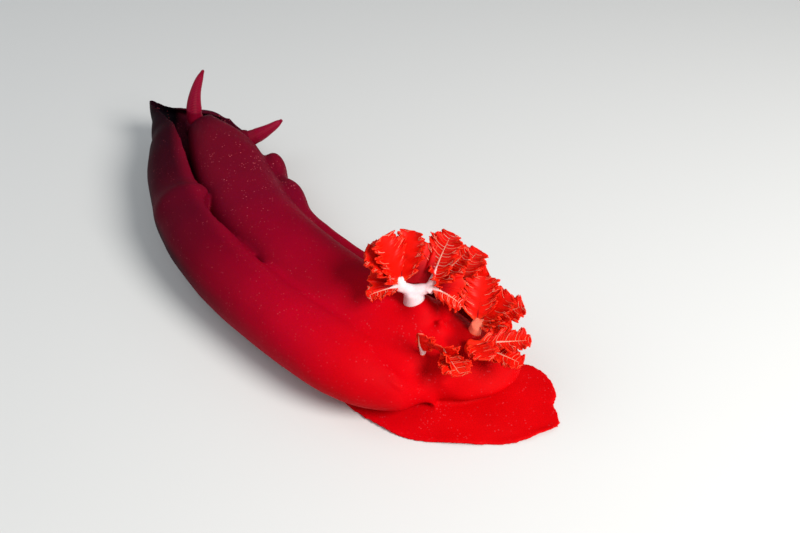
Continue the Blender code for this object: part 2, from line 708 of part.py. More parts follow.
def leaf_stations():
    """Share of the plume's length, half width as a share of the full one, and lift of the margin."""
    rows = [(0.0, 0.0, 0.0), (LEAF_START * 0.7, 0.0, 0.0)]
    pitch = (1.0 - LEAF_START) / LEAF_LOBES
    for lobe in range(LEAF_LOBES):
        for part, half in LOBE_OUTLINE:
            share = LEAF_START + pitch * (lobe + part)
            lift = LEAF_CUP + (LEAF_RUFFLE if lobe % 2 else -LEAF_RUFFLE)
            rows.append((share, half * through(LEAF_ENVELOPE, share), lift))
    return rows + [(1.0, 0.12, LEAF_CUP)]


def plume_leaf(start, plume, collection):
    """One leaf with a stem, a thick midrib and swept lobes, raised and lowered in turn along its margin."""
    across = direction(plume[0] + 90, 0)
    rings = []
    for share, half_share, lift in leaf_stations():
        root, tangent = rachis(start, plume, share)
        face = tangent.cross(across)
        half = max(STEM_HALF_WIDTH * (1 - 0.6 * share), plume[3] / 2 * half_share)
        edge = LEAF_THICKNESS if half_share else STEM_THICKNESS / 2
        rib = STEM_THICKNESS + (RIB_END_THICKNESS - STEM_THICKNESS) * share
        reach = half - STEM_HALF_WIDTH * (1 - 0.6 * share)
        upper, lower = [], []
        for u in (-1, 0, 1):
            middle = root + across * half * u + (tangent * LEAF_SWEEP + face * lift) * reach * abs(u)
            thick = face * (edge if u else rib) / 2
            upper.append(middle + thick)
            lower.append(middle - thick)
        rings.append(upper + lower[::-1])
    mesh_bm = bmesh.new()
    loft(mesh_bm, rings)
    return add_object("leaf", mesh_bm, GILL_TISSUE, collection)


def gill_base(spec):
    out = direction(spec[0], 0)
    x, s = GILL_CENTRE[0] + out.x * GILL_RING_RADIUS, GILL_CENTRE[1] + out.y * GILL_RING_RADIUS
    foot = Vector((x, s, back_surface(x, s)))
    return foot, foot + (out * STALK_LEAN + Vector((0, 0, 1))).normalized() * spec[1]


def build_gill(name, spec, collection, cutters):
    foot, crown = gill_base(spec)
    radius = spec[2]
    mesh_bm = bmesh.new()
    tube(mesh_bm, [foot - Vector((0, 0, STALK_SINK)), foot + Vector((0, 0, 1.0)), crown],
         [radius * 1.1, radius, radius * 0.8], 10)
    gill = add_object(name, mesh_bm, GILL_TISSUE, collection)
    leaves = []
    for plume in spec[3]:
        leaves.append(plume_leaf(crown - direction(plume[0], plume[1]) * 2.0, plume, collection))
    fuse(gill, leaves)
    cut(gill, cutters)


def gill_wall(angle, tilt, collection):
    """A thin wall from the middle of the ring outwards, which keeps two gills clear of one another."""
    out = direction(angle, 0)
    lean = math.radians(tilt)
    normal = direction(angle + 90, 0) * math.cos(lean) + Vector((0, 0, math.sin(lean)))
    up = out.cross(normal)
    centre = Vector((GILL_CENTRE[0], GILL_CENTRE[1], WALL_PIVOT_HEIGHT))
    rings = []
    for height in (-WALL_REACH, WALL_REACH):
        middle = centre + up * height
        rings.append([middle - normal * GAP / 2, middle + out * WALL_REACH - normal * GAP / 2,
                      middle + out * WALL_REACH + normal * GAP / 2, middle + normal * GAP / 2])
    mesh_bm = bmesh.new()
    loft(mesh_bm, rings)
    return add_object("wall", mesh_bm, FLESH, collection)


def build_gills(collection, trunk):
    x, s = GILL_CENTRE
    foot = Vector((x, s, back_surface(x, s)))
    top = foot + Vector((0, 0, PAPILLA_HEIGHT))
    mesh_bm = bmesh.new()
    tube(mesh_bm, [foot - Vector((0, 0, 5)), foot.lerp(top, 0.7), top],
         [PAPILLA_RADIUS * 1.2, PAPILLA_RADIUS * 0.8, PAPILLA_RADIUS], PAPILLA_SIDES)
    papilla = add_object("anal_papilla", mesh_bm, FLESH, collection)
    cut(papilla, [trunk])
    mesh_bm = bmesh.new()
    tube(mesh_bm, [foot, top + Vector((0, 0, 2))], [PAPILLA_RADIUS * 1.2 + GAP] * 2, PAPILLA_SIDES)
    keep_out = add_object("keep_out", mesh_bm, FLESH, collection)
    walls = [(near, far, gill_wall(angle, tilt, collection)) for near, far, angle, tilt in GILL_WALLS]
    rims = [margin_piece("rim_cutter", name, collection, GAP)
            for name in ("mantle_left_rear", "mantle_tail", "mantle_right_rear")]
    for name, spec in GILLS.items():
        own_walls = [wall for near, far, wall in walls if name in (near, far)]
        build_gill(name, spec, collection, [trunk, keep_out] + rims + own_walls)
    for helper in [wall for _, _, wall in walls] + rims + [keep_out]:
        bpy.data.objects.remove(helper, do_unlink=True)


def main():
    clear_scene()
    collection = bpy.data.collections.new("spanish_dancer")
    bpy.context.scene.collection.children.link(collection)
    build_trunk(collection)
    build_foot(collection)
    build_margin(collection)
    trunk = trunk_cutter(collection)
    build_rhinophores(collection, trunk)
    build_head(collection, trunk)
    build_tentacles(collection)
    build_gills(collection, trunk)
    bpy.data.objects.remove(trunk, do_unlink=True)


main()
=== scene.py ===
"""Looks of the Spanish dancer: one seamless skin, feathery gills with raised veins, and folded rhinophores.

As in the part's source, the animal is drawn straight first: x runs to its right, s along its midline towards
the head and z up, all in millimetres. bend() curves the midline and returns metres, and unbend() goes back.
"""

from collections import namedtuple
from functools import partial
import math

import bmesh
import bpy
import numpy as np
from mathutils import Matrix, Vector, noise


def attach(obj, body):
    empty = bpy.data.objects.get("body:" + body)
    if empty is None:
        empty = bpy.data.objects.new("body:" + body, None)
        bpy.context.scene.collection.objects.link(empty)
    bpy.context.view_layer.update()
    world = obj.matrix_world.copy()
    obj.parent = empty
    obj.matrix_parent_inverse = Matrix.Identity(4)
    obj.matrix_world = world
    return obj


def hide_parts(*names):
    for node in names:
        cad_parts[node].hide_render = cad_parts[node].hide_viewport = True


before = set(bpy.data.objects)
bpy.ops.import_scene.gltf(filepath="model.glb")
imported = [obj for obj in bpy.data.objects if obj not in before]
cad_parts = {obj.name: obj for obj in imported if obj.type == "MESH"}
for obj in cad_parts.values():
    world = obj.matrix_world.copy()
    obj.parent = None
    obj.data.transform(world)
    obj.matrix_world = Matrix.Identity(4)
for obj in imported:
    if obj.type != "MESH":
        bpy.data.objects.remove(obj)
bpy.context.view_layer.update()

MIDLINE_RADIUS = 237.0

# Camera, found by laying the model over the photograph
CAMERA_PLACE = (-0.1945, -0.2895, 0.3346)
CAMERA_AIM = (0.057, -0.016, 0.0)
CAMERA_FIELD = 50.0  # degrees across the picture
FLOOR_HALF = 3.0

# Trunk, foot and margin: nearly the same driving sizes as the solids
TRUNK_REAR, TRUNK_FRONT = -121.0, 164.0
TRUNK_HALF_WIDTH = 25.0
REAR_ROUND = (44.0, 2.0)
FRONT_ROUND = {-1: (19.0, 2.0), 1: (80.0, 1.7)}
BACK_HEIGHT = [(-121, 24), (-110, 29), (-94, 33), (-60, 38), (-20, 41), (100, 42), (132, 42),
               (149, 38), (158, 30), (166, 24), (180, 20.5), (200, 20)]
BROW_X, BROW_SLANT, BROW_SPAN = -9.0, 1.1, (60, 120)
BACK_SQUARENESS = 2.6
REAR_LOWEST = 0.30  # height of the back over its flanks at the rear end, as a share
FLANK_TOP = 12.5
HEAD_RISE, HEAD_SPAN = {-1: 7.5, 1: 2.0}, (128, 156)
CHIN_RISE, CHIN_SPAN = 4.6, (134, 156)
SOLE_THICKNESS, MARGIN_THICKNESS = 4.0, 1.2
FOOT_REAR, FOOT_FRONT = -149.0, 150.0
FOOT_LEFT = [(-149, 20), (-144, 25), (-136, 31), (-124, 36), (-110, 41), (-92, 46), (-78, 45),
             (-60, 41), (-38, 33), (0, 28), (100, 26), (128, 22), (142, 15), (150, 3)]
FOOT_RIGHT = [(-149, 11), (-145, 15), (-139, 18), (-130, 19), (-112, 25), (-92, 31), (-60, 31),
              (-20, 29), (0, 28), (100, 24), (128, 17), (142, 10), (150, 3)]
TAIL_START = -118.0
TAIL_LOBES = [(-14, 5.0, 6.0), (-5, -1.5, 2.5), (3, 2.5, 4.5)]
TAIL_RAGS = [(0.5, 1.9, 0.6), (0.35, 3.7, 0.0)]  # height, turn in a millimetre and phase of each wave
FOOT_THIN_START, FOOT_WAVE_START = 0.55, 0.72  # shares of the foot's half-width
FOOT_WAVE, FOOT_WAVE_TURN = 0.6, 0.19
ROOT_HEIGHT = 9.5
ROOT_THICKNESS, EDGE_THICKNESS = 4.2, 1.7
ROOT_SINK = 4.0  # how far the margin's root runs into the trunk
CURL_START = math.radians(-120)
NORMAL_SPAN = 3.0
# By side: s, reach outwards, height of the top and the angle in degrees where the curl ends
MARGIN = {
    -1: [(-119.5, 5.5, 14.5, 96), (-113, 2.5, 14.5, 92), (-106, 2, 14.5, 90), (-98, 0.8, 14.5, 88),
         (-93, 6, 19, 76), (-87, 15.5, 27, 68), (-80, 21, 32, 84), (-72, 25, 35.5, 108),
         (-60, 27, 38, 126), (-38, 26.5, 40, 132), (0, 25.5, 42, 134), (20, 26, 42.2, 136),
         (36, 26.5, 42.4, 128), (46, 27, 42.5, 120), (58, 26.7, 42.4, 116), (68, 26.5, 42.3, 120),
         (86, 24.5, 41, 121), (108, 23.5, 41, 119), (128, 21.5, 41, 106), (143, 21, 39, 82),
         (149.5, 24.5, 37.5, 56), (153, 31, 36, 10), (154.6, 26.5, 31, 22), (158, 20, 28, 54),
         (162.5, 12, 25, 76)],
    1: [(162, 4, 17, 78), (150, 3, 14.5, 80), (128, 3, 15.5, 92), (118, 5, 21, 108), (102, 8.5, 31, 124),
        (84, 5.5, 26, 118), (64, 8.5, 31, 126), (44, 6, 27, 120), (20, 7, 27, 124), (-50, 7.5, 27, 124),
        (-95, 8, 25, 112), (-110, 9, 20, 106), (-118.5, 11.5, 16, 100)],
}
MARGIN_RINGS, MARGIN_CORNER_RINGS = 420, 60
CORNER = (-1, 153.0, 4.0)  # the brim's pointed corner, with extra rings on both sides
EDGE_CLEARANCE = 0.8  # between the rolled edge and the back
RUFFLE_HEIGHT, RUFFLE_COUNT = 0.15, 31
EAR = (-1, 69.5, 5.5, 2.4, 18.0)  # side, s, half-width, rise and extra curl of a small ear on the left roll
# The crease below the left roll's edge, and the fills between the edge and the back behind it and on the
# right: side, s at both ends, how far a fill runs into the roll, and by what share it widens to the rear
CREASE = (-1, 76.0, 13.0)
CREASE_SINK, CREASE_DEPTH = 6.0, 6.0
SEAMS = [(-1, -98.0, 14.0, 5.0, 1.0), (1, 134.0, -60.0, 1.0, 0.0)]
SEAM_WIDTH, SEAM_SINK, WIDENING = 5.0, 7.0, (-30, -60)
DRAPE_RIGHT, DRAPE_LEFT = -104.0, -89.0
DRAPE_INSIDE, DRAPE_SINK = 8.0, 3.0
# Foot (x, s), run to the tip and bow
RHINOPHORES = {"rhinophore_left": ((-19.5, 154.0), (-2.5, 0.0, 37.0), (13.0, 0.0, 1.0)),
               "rhinophore_right": ((13.0, 138.0), (26.0, 2.0, 7.0), (-2.0, -2.0, 5.5))}
RHINOPHORE_RADII = [(0.0, 5.3), (0.3, 4.5), (0.6, 3.2), (0.85, 2.1), (1.0, 1.0)]
LAMELLA_START, LAMELLA_END, LAMELLA_COUNT, LAMELLA_DEPTH = 0.26, 0.95, 24, 0.13
TIP_ROUND = 0.97  # share of the length where the tip's rounding starts
SHEATH_RADIUS = 6.6
SHEATH_STEPS = [(-7.0, 1.6), (-2.0, 1.1), (0.4, 0.2), (1.92, -0.5), (2.4, -1.2)]  # height and extra radius
HEAD_CENTRE = (-5.0, 149.0, 5.4)
HEAD_HALF = (13.0, 13.0, 4.8)
MOUTH_RADIUS, LIP_RADIUS = 2.9, 0.95
# Share of the length, share of the width and half-thickness
TENTACLE_SECTIONS = [(-0.2, 0.42, 1.6), (0.0, 0.42, 1.6), (0.3, 0.62, 1.3), (0.6, 0.92, 1.0),
                     (0.85, 1.0, 0.9), (1.0, 0.7, 0.7)]
TENTACLE_LENGTH, TENTACLE_WIDTH = 12.0, 10.0
TENTACLE_SPREAD = math.radians(24)
TENTACLE_FINGERS, FINGER_SPREAD = 9, math.radians(78)

# Gills
GILL_CENTRE = (-1.0, -91.0)
GILL_RING_RADIUS = 16.0
STALK_SINK, STALK_LEAN = 5.0, 0.35
PAPILLA_RADIUS, PAPILLA_STEPS = 2.6, [(-4.0, 1.5), (0.5, 1.15), (3.0, 0.85), (5.1, 0.9), (6.0, 0.7)]
# The collar round a stalk: shares of the stalk's height, after a foot in millimetres, and of its radius
COLLAR_FOOT, COLLAR_STEPS = (-4.0, 2.014), [(0.0, 1.696), (0.24, 1.3992), (0.42, 1.1872), (0.48, 0.848)]
# A gill stands at an angle on the ring. Its stalk's paleness is 0 to 1. A plume's arm is its width as a
# share of the stalk's, and bare is where its veins begin, from 0 at the stem to 1 at the margin.
Gill = namedtuple("Gill", "angle height radius paleness plumes")
Plume = namedtuple("Plume", "azimuth elevation length width droop bow arm bare")
GILLS = {
    "gill_1": Gill(72, 9.0, 5.6, 1.0, [
        Plume(146, 14, 20, 12, 22, 10, 0.36, 0.0), Plume(114, 60, 28, 22, 20, 0, 0.20, 0.6),
        Plume(80, 76, 30, 21, 20, 10, 0.34, 0.4), Plume(10, 66, 30, 19, 16, -8, 0.30, 0.5),
        Plume(-8, 66, 31, 21, 24, -12, 0.30, 0.0), Plume(-40, 46, 28, 20, 22, 10, 0.42, 0.0),
        Plume(-92, 4, 21, 16, 26, -14, 0.30, 0.0)]),
    "gill_2": Gill(14, 6.5, 3.0, 0.1, [
        Plume(104, 76, 24, 19, 20, 0, 0.4, 0.3), Plume(-16, 42, 31, 22, 24, -8, 0.4, 0.0),
        Plume(-52, 30, 27, 20, 20, 8, 0.4, 0.2)]),
    "gill_3": Gill(-62, 6.0, 3.5, 0.45, [
        Plume(14, 62, 26, 21, 24, -10, 0.4, 0.3), Plume(-46, 50, 25, 19, 26, -8, 0.4, 0.2),
        Plume(-66, 36, 28, 19, 26, 8, 0.5, 0.0), Plume(-84, 16, 20, 12, 14, 0, 0.5, 0.0)]),
    "gill_4": Gill(-102, 6.0, 3.2, 0.1, [
        Plume(-80, 20, 30, 15, 16, 6, 0.4, 0.0), Plume(-103, 10, 28, 14, 12, -8, 0.4, 0.0),
        Plume(-138, 32, 19, 14, 22, 0, 0.4, 0.2)]),
    "gill_5": Gill(-150, 5.0, 3.0, 0.1, [
        Plume(-140, 26, 18, 14, 24, 8, 0.4, 0.0), Plume(-172, 74, 17, 13, 20, -8, 0.4, 0.0)]),
    "gill_6": Gill(174, 2.6, 1.3, 0.9, [Plume(172, 58, 18, 15, -34, 10, 0.5, 0.0)]),
}
# Thick branches between a stalk and its plumes: azimuth, elevation, length, number of plumes
BRANCHES = {"gill_1": [(118, 30, 7.0, 4), (-62, 20, 9.0, 3)]}
BRANCH_RADII = (0.72, 0.42)  # at both ends of a branch, as shares of the stalk's
ONE_SIDED = {"gill_6": -1}  # the side on which a gill's membrane is only a rim
RIM_SHARE = 0.22  # how wide such a rim is, as a share of the whole membrane
WIDE_LEAF, MANY_LOBES, FEW_LOBES = 14, 8, 6  # lobes on each side of a wide and of a narrow plume
LEAF_START = 0.20
LEAF_ENVELOPE = [(0.12, 0.0), (0.20, 0.60), (0.42, 0.95), (0.66, 1.0), (0.86, 0.80), (0.97, 0.42),
                 (1.0, 0.04)]
LOBE_DEPTH, LOBE_VARIATION, FRINGE_DEPTH = 0.28, 0.10, 0.07
LEAF_SWEEP, SWEEP_LOSS = 0.62, 0.75  # how far the lobes point to the tip, and how much less they do there
LEAF_CUP, LEAF_RIPPLE, LEAF_FINE_RIPPLE, LEAF_CURL = 0.30, 0.15, 0.06, 0.10
LEAF_THICKNESS = 0.5
STEM_RADIUS, STEM_TIP_RADIUS = 0.85, 0.22
VEIN_RADIUS, VEIN_TIP_RADIUS = 0.23, 0.12
VEIN_LIFT = 0.26  # of the veins above the middle of the membrane
VEIN_REACH, SHORT_VEIN_REACH, VEIN_SLANT = 0.95, 0.62, 0.35
TWIG_START, TWIG_END, TWIG_SPREAD = 0.62, 0.93, 0.26
PLUME_SINK = 2.0  # of a plume's foot into the stalk
BARE_ARM_DEPTH, BARE_STEM_DEPTH = 1.6, 1.0  # of a plume's arm and stem behind a membrane that is bare there
ARM_SHARE = 0.45  # share of a plume over which its stem thickens towards the stalk
FAN_REACH = 0.72  # how far the web between the plumes reaches along them
WEB_DROOP = math.radians(16)
WEB_SCALLOPS, WEB_RIPPLE = 3.0, 0.055  # from plume to plume, and as a share of the web's length
STALK_VOXEL = 0.00045

# Skin mesh, and zones of it. A limit has a measure, where it starts and where it is full, and a zone is
# where all of its limits hold. measures() says what each measure is.
SKIN_VOXEL = 0.0009
BRIM_FOLD = (2.0, 167.0)
ROLL_END = (-27.0, -98.0)
FLANK_SLANT, FLANK_MIDDLE = 0.35, 28.0
ROLL_REAR = [("s", 16, -12), ("z", 24, 30), ("x", -36, -27), ("x", 8, -6)]
RIGHT_LOBES = [("x", 14, 20), ("z", 16, 21), ("s", 138, 126)]
ROLL_RIM = [("x", -30, -27), ("x", -14, -17), ("s", 60, 54), ("s", 4, 10), ("z", 34, 37)]
# Where the skin is smoothed, as a share and a zone. The right lobes are smoothed less in front.
SMOOTHED = [(1.0, ROLL_REAR), (0.22, ROLL_RIM), (1.0, [("s", -92, -104), ("z", 12, 15)]),
            (1.0, [("fold", 11, 5), ("z", 14, 18)]), (1.0, [("end", 17, 8), ("z", 6, 8.5)])]
LOBE_FRONT, LOBE_LOSS = [("s", 62, 76)], 0.75
# Large and small swells: frequency across and along in a millimetre, offset and height
SWELLS = [(0.040, 0.022, 0.0, 0.8), (0.16, 0.07, 7.0, 0.12)]

# How much painted light the left roll gets, as (s, share) stations, and zones of painted shade and painted
# light
SHADE_FRONT, SHADE_REAR = 150.0, -110.0
CREST_SHADE = [(-60, 1.0), (-20, 1.0), (0, 0.90), (30, 0.62), (60, 0.58), (90, 0.28), (120, 0.18)]
FLANK_SHADE = [(-60, 1.0), (-20, 1.0), (10, 0.60), (40, 0.18), (70, 0.13), (100, 0.16)]
ROLL = [("x", -25, -34)]
ROLL_FLANK = [("outside", -44, -52), ("z", 34, 26)]
UNDER_BRIM, UNDER_BRIM_SHADE = [("s", 144, 152), ("z", 33, 28), ("x", -2, -10)], 0.7
# A painted shadow patch on the back's right side: centre (x, s), half-widths and strength
PAINTED_SHADOW_PATCH, PAINTED_SHADOW_HALF, PAINTED_SHADOW_STRENGTH = (17.0, -8.0), (10.0, 34.0), 0.45
PAINTED_LIGHT_GROOVE = [("z", 37, 32), ("x", -37, -33), ("s", 70, 84)]
# Along the left roll's free edge: a painted highlight on the edge, and a painted shadow on the back just
# inside it that fades away from the edge.
EDGE_SPAN = [("s", 0, 14), ("s", 125, 95), ("z", 32, 36)]
EDGE_LIGHT, EDGE_BRIGHTER = [("edge", -2.6, -0.4), ("edge", 0.9, 0.3)], 0.45
EDGE_SHADOW, EDGE_DARKER, EDGE_FADE = [("edge", 0.2, 1.1)], 0.42, 3.2
RING_SHADOW, RING_DARKER = [("ring", 3, 9), ("ring", 21, 15), ("turn", 75, 50)], 0.42
RING_SHADOW_TURN = -75.0
DOTS_LEAST, DOTS_BACK = 0.25, [("s", 10, 80), ("x", -22, -2)]
DOTS_RIGHT = [("x", 16, 20), ("x", 27, 23), ("s", -20, 30)]
FLESH_PIECES = ["notum_rear", "notum_middle", "notum_front", "neck", "head", "oral_tentacle_left",
                "oral_tentacle_right", "foot_tail", "foot_middle", "foot_front", "mantle_left_rear",
                "mantle_left_middle", "mantle_left_front", "mantle_front", "mantle_right_front",
                "mantle_right_middle", "mantle_right_rear", "mantle_tail", "rhinophore_sheath_left",
                "rhinophore_sheath_right", "anal_papilla"]


# Curves and the bend


def ease(low, high, value):
    """From 0 at low to 1 at high, with a soft start and end."""
    t = np.clip((value - low) / (high - low), 0.0, 1.0)
    return t * t * (3 - 2 * t)


def bell(value, centre, half_width):
    return np.exp(-((value - centre) / half_width) ** 2)


def through(stations, value):
    """A smooth curve through (position, value) stations, flat beyond its ends."""
    xs = np.array([a for a, _ in stations], float)
    ys = np.array([b for _, b in stations], float)
    slopes = np.gradient(ys, xs)
    slopes[0] = slopes[-1] = 0.0
    v = float(np.clip(value, xs[0], xs[-1]))
    i = int(min(np.searchsorted(xs, v, side="right") - 1, len(xs) - 2))
    h = xs[i + 1] - xs[i]
    t = (v - xs[i]) / h
    return ((2 * t**3 - 3 * t**2 + 1) * ys[i] + (t**3 - 2 * t**2 + t) * h * slopes[i]
            + (-2 * t**3 + 3 * t**2) * ys[i + 1] + (t**3 - t**2) * h * slopes[i + 1])


def bend(points):
    """Straight millimetres to metres on the curved animal, for an array of points."""
    x, s, z = np.asarray(points, float).T
    angle = s / MIDLINE_RADIUS
    radius = MIDLINE_RADIUS - x
    return np.stack([MIDLINE_RADIUS - radius * np.cos(angle), radius * np.sin(angle), z], axis=1) * 0.001


def unbend(points):
    """Metres on the curved animal back to straight millimetres."""
    x, y, z = np.asarray(points, float).T * 1000.0
    radius = np.hypot(MIDLINE_RADIUS - x, y)
    return np.stack([MIDLINE_RADIUS - radius, MIDLINE_RADIUS * np.arctan2(y, MIDLINE_RADIUS - x), z], axis=1)


# Mesh building


class Pile:
    """Points and faces of closed or open surfaces, with one value a point that says how pale it is."""

    def __init__(self):
        self.points = []
        self.pale = []
        self.faces = []
        self.count = 0

    def grid(self, rows, pale=0.0, closed=False, looped=False, capped=False):
        """rows is (rows, columns, 3). closed joins the last column to the first, looped the last row."""
        rows = np.asarray(rows, float)
        n, m = rows.shape[:2]
        index = self.count + np.arange(n * m).reshape(n, m)
        lows = index if looped else index[:-1]
        highs = np.roll(index, -1, axis=0) if looped else index[1:]
        if closed:
            quads = np.stack([lows, np.roll(lows, -1, axis=1), np.roll(highs, -1, axis=1), highs], axis=-1)
        else:
            quads = np.stack([lows[:, :-1], lows[:, 1:], highs[:, 1:], highs[:, :-1]], axis=-1)
        self.faces += quads.reshape(-1, 4).tolist()
        if capped:
            self.faces.append(index[0][::-1].tolist())
            self.faces.append(index[-1].tolist())
        self.points.append(rows.reshape(-1, 3))
        self.pale.append(np.broadcast_to(np.asarray(pale, float), (n, m)).reshape(-1))
        self.count += n * m

    def tube(self, path, radii, sides, pale=0.0):
        """A round tube along a path, with one radius or one for each point."""
        path = np.asarray(path, float)
        radii = np.broadcast_to(np.asarray(radii, float), (len(path),))
        along = np.gradient(path, axis=0)
        along /= np.linalg.norm(along, axis=1)[:, None]
        side = np.cross(along[0], [0.0, 0.0, 1.0])
        if np.linalg.norm(side) < 0.1:
            side = np.cross(along[0], [0.0, 1.0, 0.0])
        angles = np.linspace(0, 2 * np.pi, sides, endpoint=False)
        rings = []
        for point, direction_now, radius in zip(path, along, radii):
            side = side - direction_now * side.dot(direction_now)
            side /= np.linalg.norm(side)
            other = np.cross(direction_now, side)
            rings.append(point + (np.cos(angles)[:, None] * side + np.sin(angles)[:, None] * other) * radius)
        pale = np.broadcast_to(np.asarray(pale, float), (len(path),))[:, None]
        self.grid(rings, pale=np.repeat(pale, sides, axis=1), closed=True, capped=True)

    def surface(self, points, faces, pale):
        """A surface that is already meshed."""
        self.faces += [[self.count + k for k in face] for face in faces]
        self.points.append(np.asarray(points, float))
        self.pale.append(np.asarray(pale, float))
        self.count += len(points)

    def object(self, name):
        points = bend(np.concatenate(self.points))
        mesh = bpy.data.meshes.new(name)
        mesh.from_pydata(points.tolist(), [], self.faces)
        pale = mesh.attributes.new("pale", "FLOAT", "POINT")
        pale.data.foreach_set("value", np.concatenate(self.pale).astype(np.float32))
        made = bpy.data.objects.new(name, mesh)
        bpy.context.scene.collection.objects.link(made)
        return made


def recalculate_normals(obj):
    mesh_bm = bmesh.new()
    mesh_bm.from_mesh(obj.data)
    bmesh.ops.recalc_face_normals(mesh_bm, faces=mesh_bm.faces)
    mesh_bm.to_mesh(obj.data)
    mesh_bm.free()


def remesh(obj, size):
    """Turns all surfaces of an object into one closed skin, and returns its points and edges."""
    recalculate_normals(obj)
    modifier = obj.modifiers.new("remesh", "REMESH")
    modifier.mode = "VOXEL"
    modifier.voxel_size = size
    graph = bpy.context.evaluated_depsgraph_get()
    mesh = bpy.data.meshes.new_from_object(obj.evaluated_get(graph), preserve_all_data_layers=True,
                                           depsgraph=graph)
    obj.modifiers.clear()
    obj.data = mesh
    return read(mesh.vertices, "co", 3), read(mesh.edges, "vertices", 2, np.int64)


def read(items, key, width, kind=float):
    values = np.zeros(len(items) * width, kind)
    items.foreach_get(key, values)
    return values.reshape(-1, width)


def dress(obj, look):
    recalculate_normals(obj)
    obj.data.shade_smooth()
    obj.data.materials.append(look)


# Trunk, foot and margin


def rear_share(s):
    length, power = REAR_ROUND
    share = min(1.0, max(0.0, (TRUNK_REAR + length - s) / length))
    return (1 - share**power) ** (1 / power)


def trunk_half_width(s, side):
    length, power = FRONT_ROUND[side]
    share = min(1.0, max(0.0, (s - TRUNK_FRONT + length) / length))
    return max(1.2, TRUNK_HALF_WIDTH * rear_share(s) * (1 - share**power) ** (1 / power))


def head_rise(s, side):
    return HEAD_RISE[side] * ease(*HEAD_SPAN, s)


def back_rise(x, s):
    flank = FLANK_TOP + head_rise(s, 1 if x > 0 else -1)
    ahead = s + BROW_SLANT * max(0.0, x - BROW_X) * ease(*BROW_SPAN, s)
    rear = REAR_LOWEST + (1 - REAR_LOWEST) * rear_share(s) ** 0.8
    return (through(BACK_HEIGHT, ahead) - flank) * rear


def back_surface(x, s):
    side = 1 if x > 0 else -1
    half = trunk_half_width(s, side)
    if abs(x) >= half:
        return None
    share = 1 - (abs(x) / half) ** BACK_SQUARENESS
    return FLANK_TOP + head_rise(s, side) + back_rise(x, s) * share ** (1 / BACK_SQUARENESS)


def trunk_ring(s, steps):
    bottom = SOLE_THICKNESS - 1.5 + CHIN_RISE * ease(*CHIN_SPAN, s)
    power = 2 / BACK_SQUARENESS
    ring = []
    for k in range(steps + 1):
        angle = math.pi * (1 - k / steps)
        across, up = math.cos(angle), math.sin(angle)
        side = 1 if across > 0 else -1
        half = trunk_half_width(s, side)
        x = math.copysign(abs(across) ** power, across) * half
        ring.append((x, s, FLANK_TOP + head_rise(s, side) + back_rise(x, s) * abs(up) ** power))
    return [(ring[0][0], s, bottom)] + ring + [(ring[-1][0], s, bottom)]


def add_trunk(pile):
    rear, front = REAR_ROUND[0], FRONT_ROUND[-1][0]
    marks = np.concatenate([
        TRUNK_REAR + rear * (1 - np.cos(np.linspace(0, math.pi / 2, 24))),
        np.arange(TRUNK_REAR + rear + 2, TRUNK_FRONT - front, 2.5),
        TRUNK_FRONT - front * (1 - np.cos(np.linspace(math.pi / 2, 0, 16))),
    ])
    pile.grid([trunk_ring(s, 48) for s in marks], closed=True, capped=True)


def tail_end(x):
    ragged = sum(height * math.sin(x * turn + phase) for height, turn, phase in TAIL_RAGS)
    return FOOT_REAR + ragged - sum(extra * bell(x, at, half) for at, extra, half in TAIL_LOBES)


def foot_ring(s, steps=48):
    left, right = through(FOOT_LEFT, s), through(FOOT_RIGHT, s)
    top, bottom = [], []
    for k in range(steps + 1):
        share = 2 * k / steps - 1
        share = math.copysign(abs(share) ** 0.8, share)
        x = share * (left if share < 0 else right)
        slope = ease(FOOT_THIN_START, 1.0, abs(share))
        if s < TRUNK_REAR:
            slope = max(slope, ease(TRUNK_REAR, FOOT_REAR, s))
        thick = SOLE_THICKNESS + (MARGIN_THICKNESS - SOLE_THICKNESS) * slope
        along = s
        if s < TAIL_START:
            along = TAIL_START + (s - TAIL_START) * (tail_end(x) - TAIL_START) / (FOOT_REAR - TAIL_START)
        wave = FOOT_WAVE * (1 + math.sin(s * FOOT_WAVE_TURN + 2.0 * share))
        wave *= ease(FOOT_WAVE_START, 1.0, abs(share))
        top.append((x, along, thick + wave))
        bottom.append((x, along, wave))
    return top + bottom[::-1]


def add_foot(pile):
    pile.grid([foot_ring(s) for s in np.linspace(FOOT_REAR, FOOT_FRONT, 160)], closed=True, capped=True)


class Outline:
    """The trunk's outline at root height, measured along its length from the rear end, up the left side."""

    def __init__(self):
        rear, front = REAR_ROUND[0], FRONT_ROUND[-1][0]
        marks = np.concatenate([
            TRUNK_REAR + rear * (1 - np.cos(np.linspace(0, math.pi / 2, 60))),
            np.linspace(TRUNK_REAR + rear, TRUNK_FRONT - front, 200)[1:-1],
            TRUNK_FRONT - front * (1 - np.cos(np.linspace(math.pi / 2, 0, 60))),
        ])
        left = np.array([trunk_half_width(s, -1) for s in marks])
        right = np.array([trunk_half_width(s, 1) for s in marks])
        self.x = np.concatenate([-left, right[::-1]])
        self.s = np.concatenate([marks, marks[::-1]])
        steps = np.hypot(np.diff(self.x), np.diff(self.s))
        self.along = np.concatenate([[0.0], np.cumsum(steps)])
        self.length = float(self.along[-1]) + float(self.x[-1] - self.x[0])
        self.count = len(marks)

    def at(self, side, s):
        n = self.count
        if side < 0:
            return float(np.interp(s, self.s[:n], self.along[:n]))
        return float(np.interp(-s, -self.s[n:], self.along[n:]))

    def point(self, distance):
        d = distance % self.length
        along = np.append(self.along, self.length)
        return float(np.interp(d, along, np.append(self.x, self.x[0]))), float(
            np.interp(d, along, np.append(self.s, self.s[0])))

    def normal(self, distance):
        x0, s0 = self.point(distance - NORMAL_SPAN)
        x1, s1 = self.point(distance + NORMAL_SPAN)
        length = math.hypot(x1 - x0, s1 - s0)
        return -(s1 - s0) / length, (x1 - x0) / length


OUTLINE = Outline()


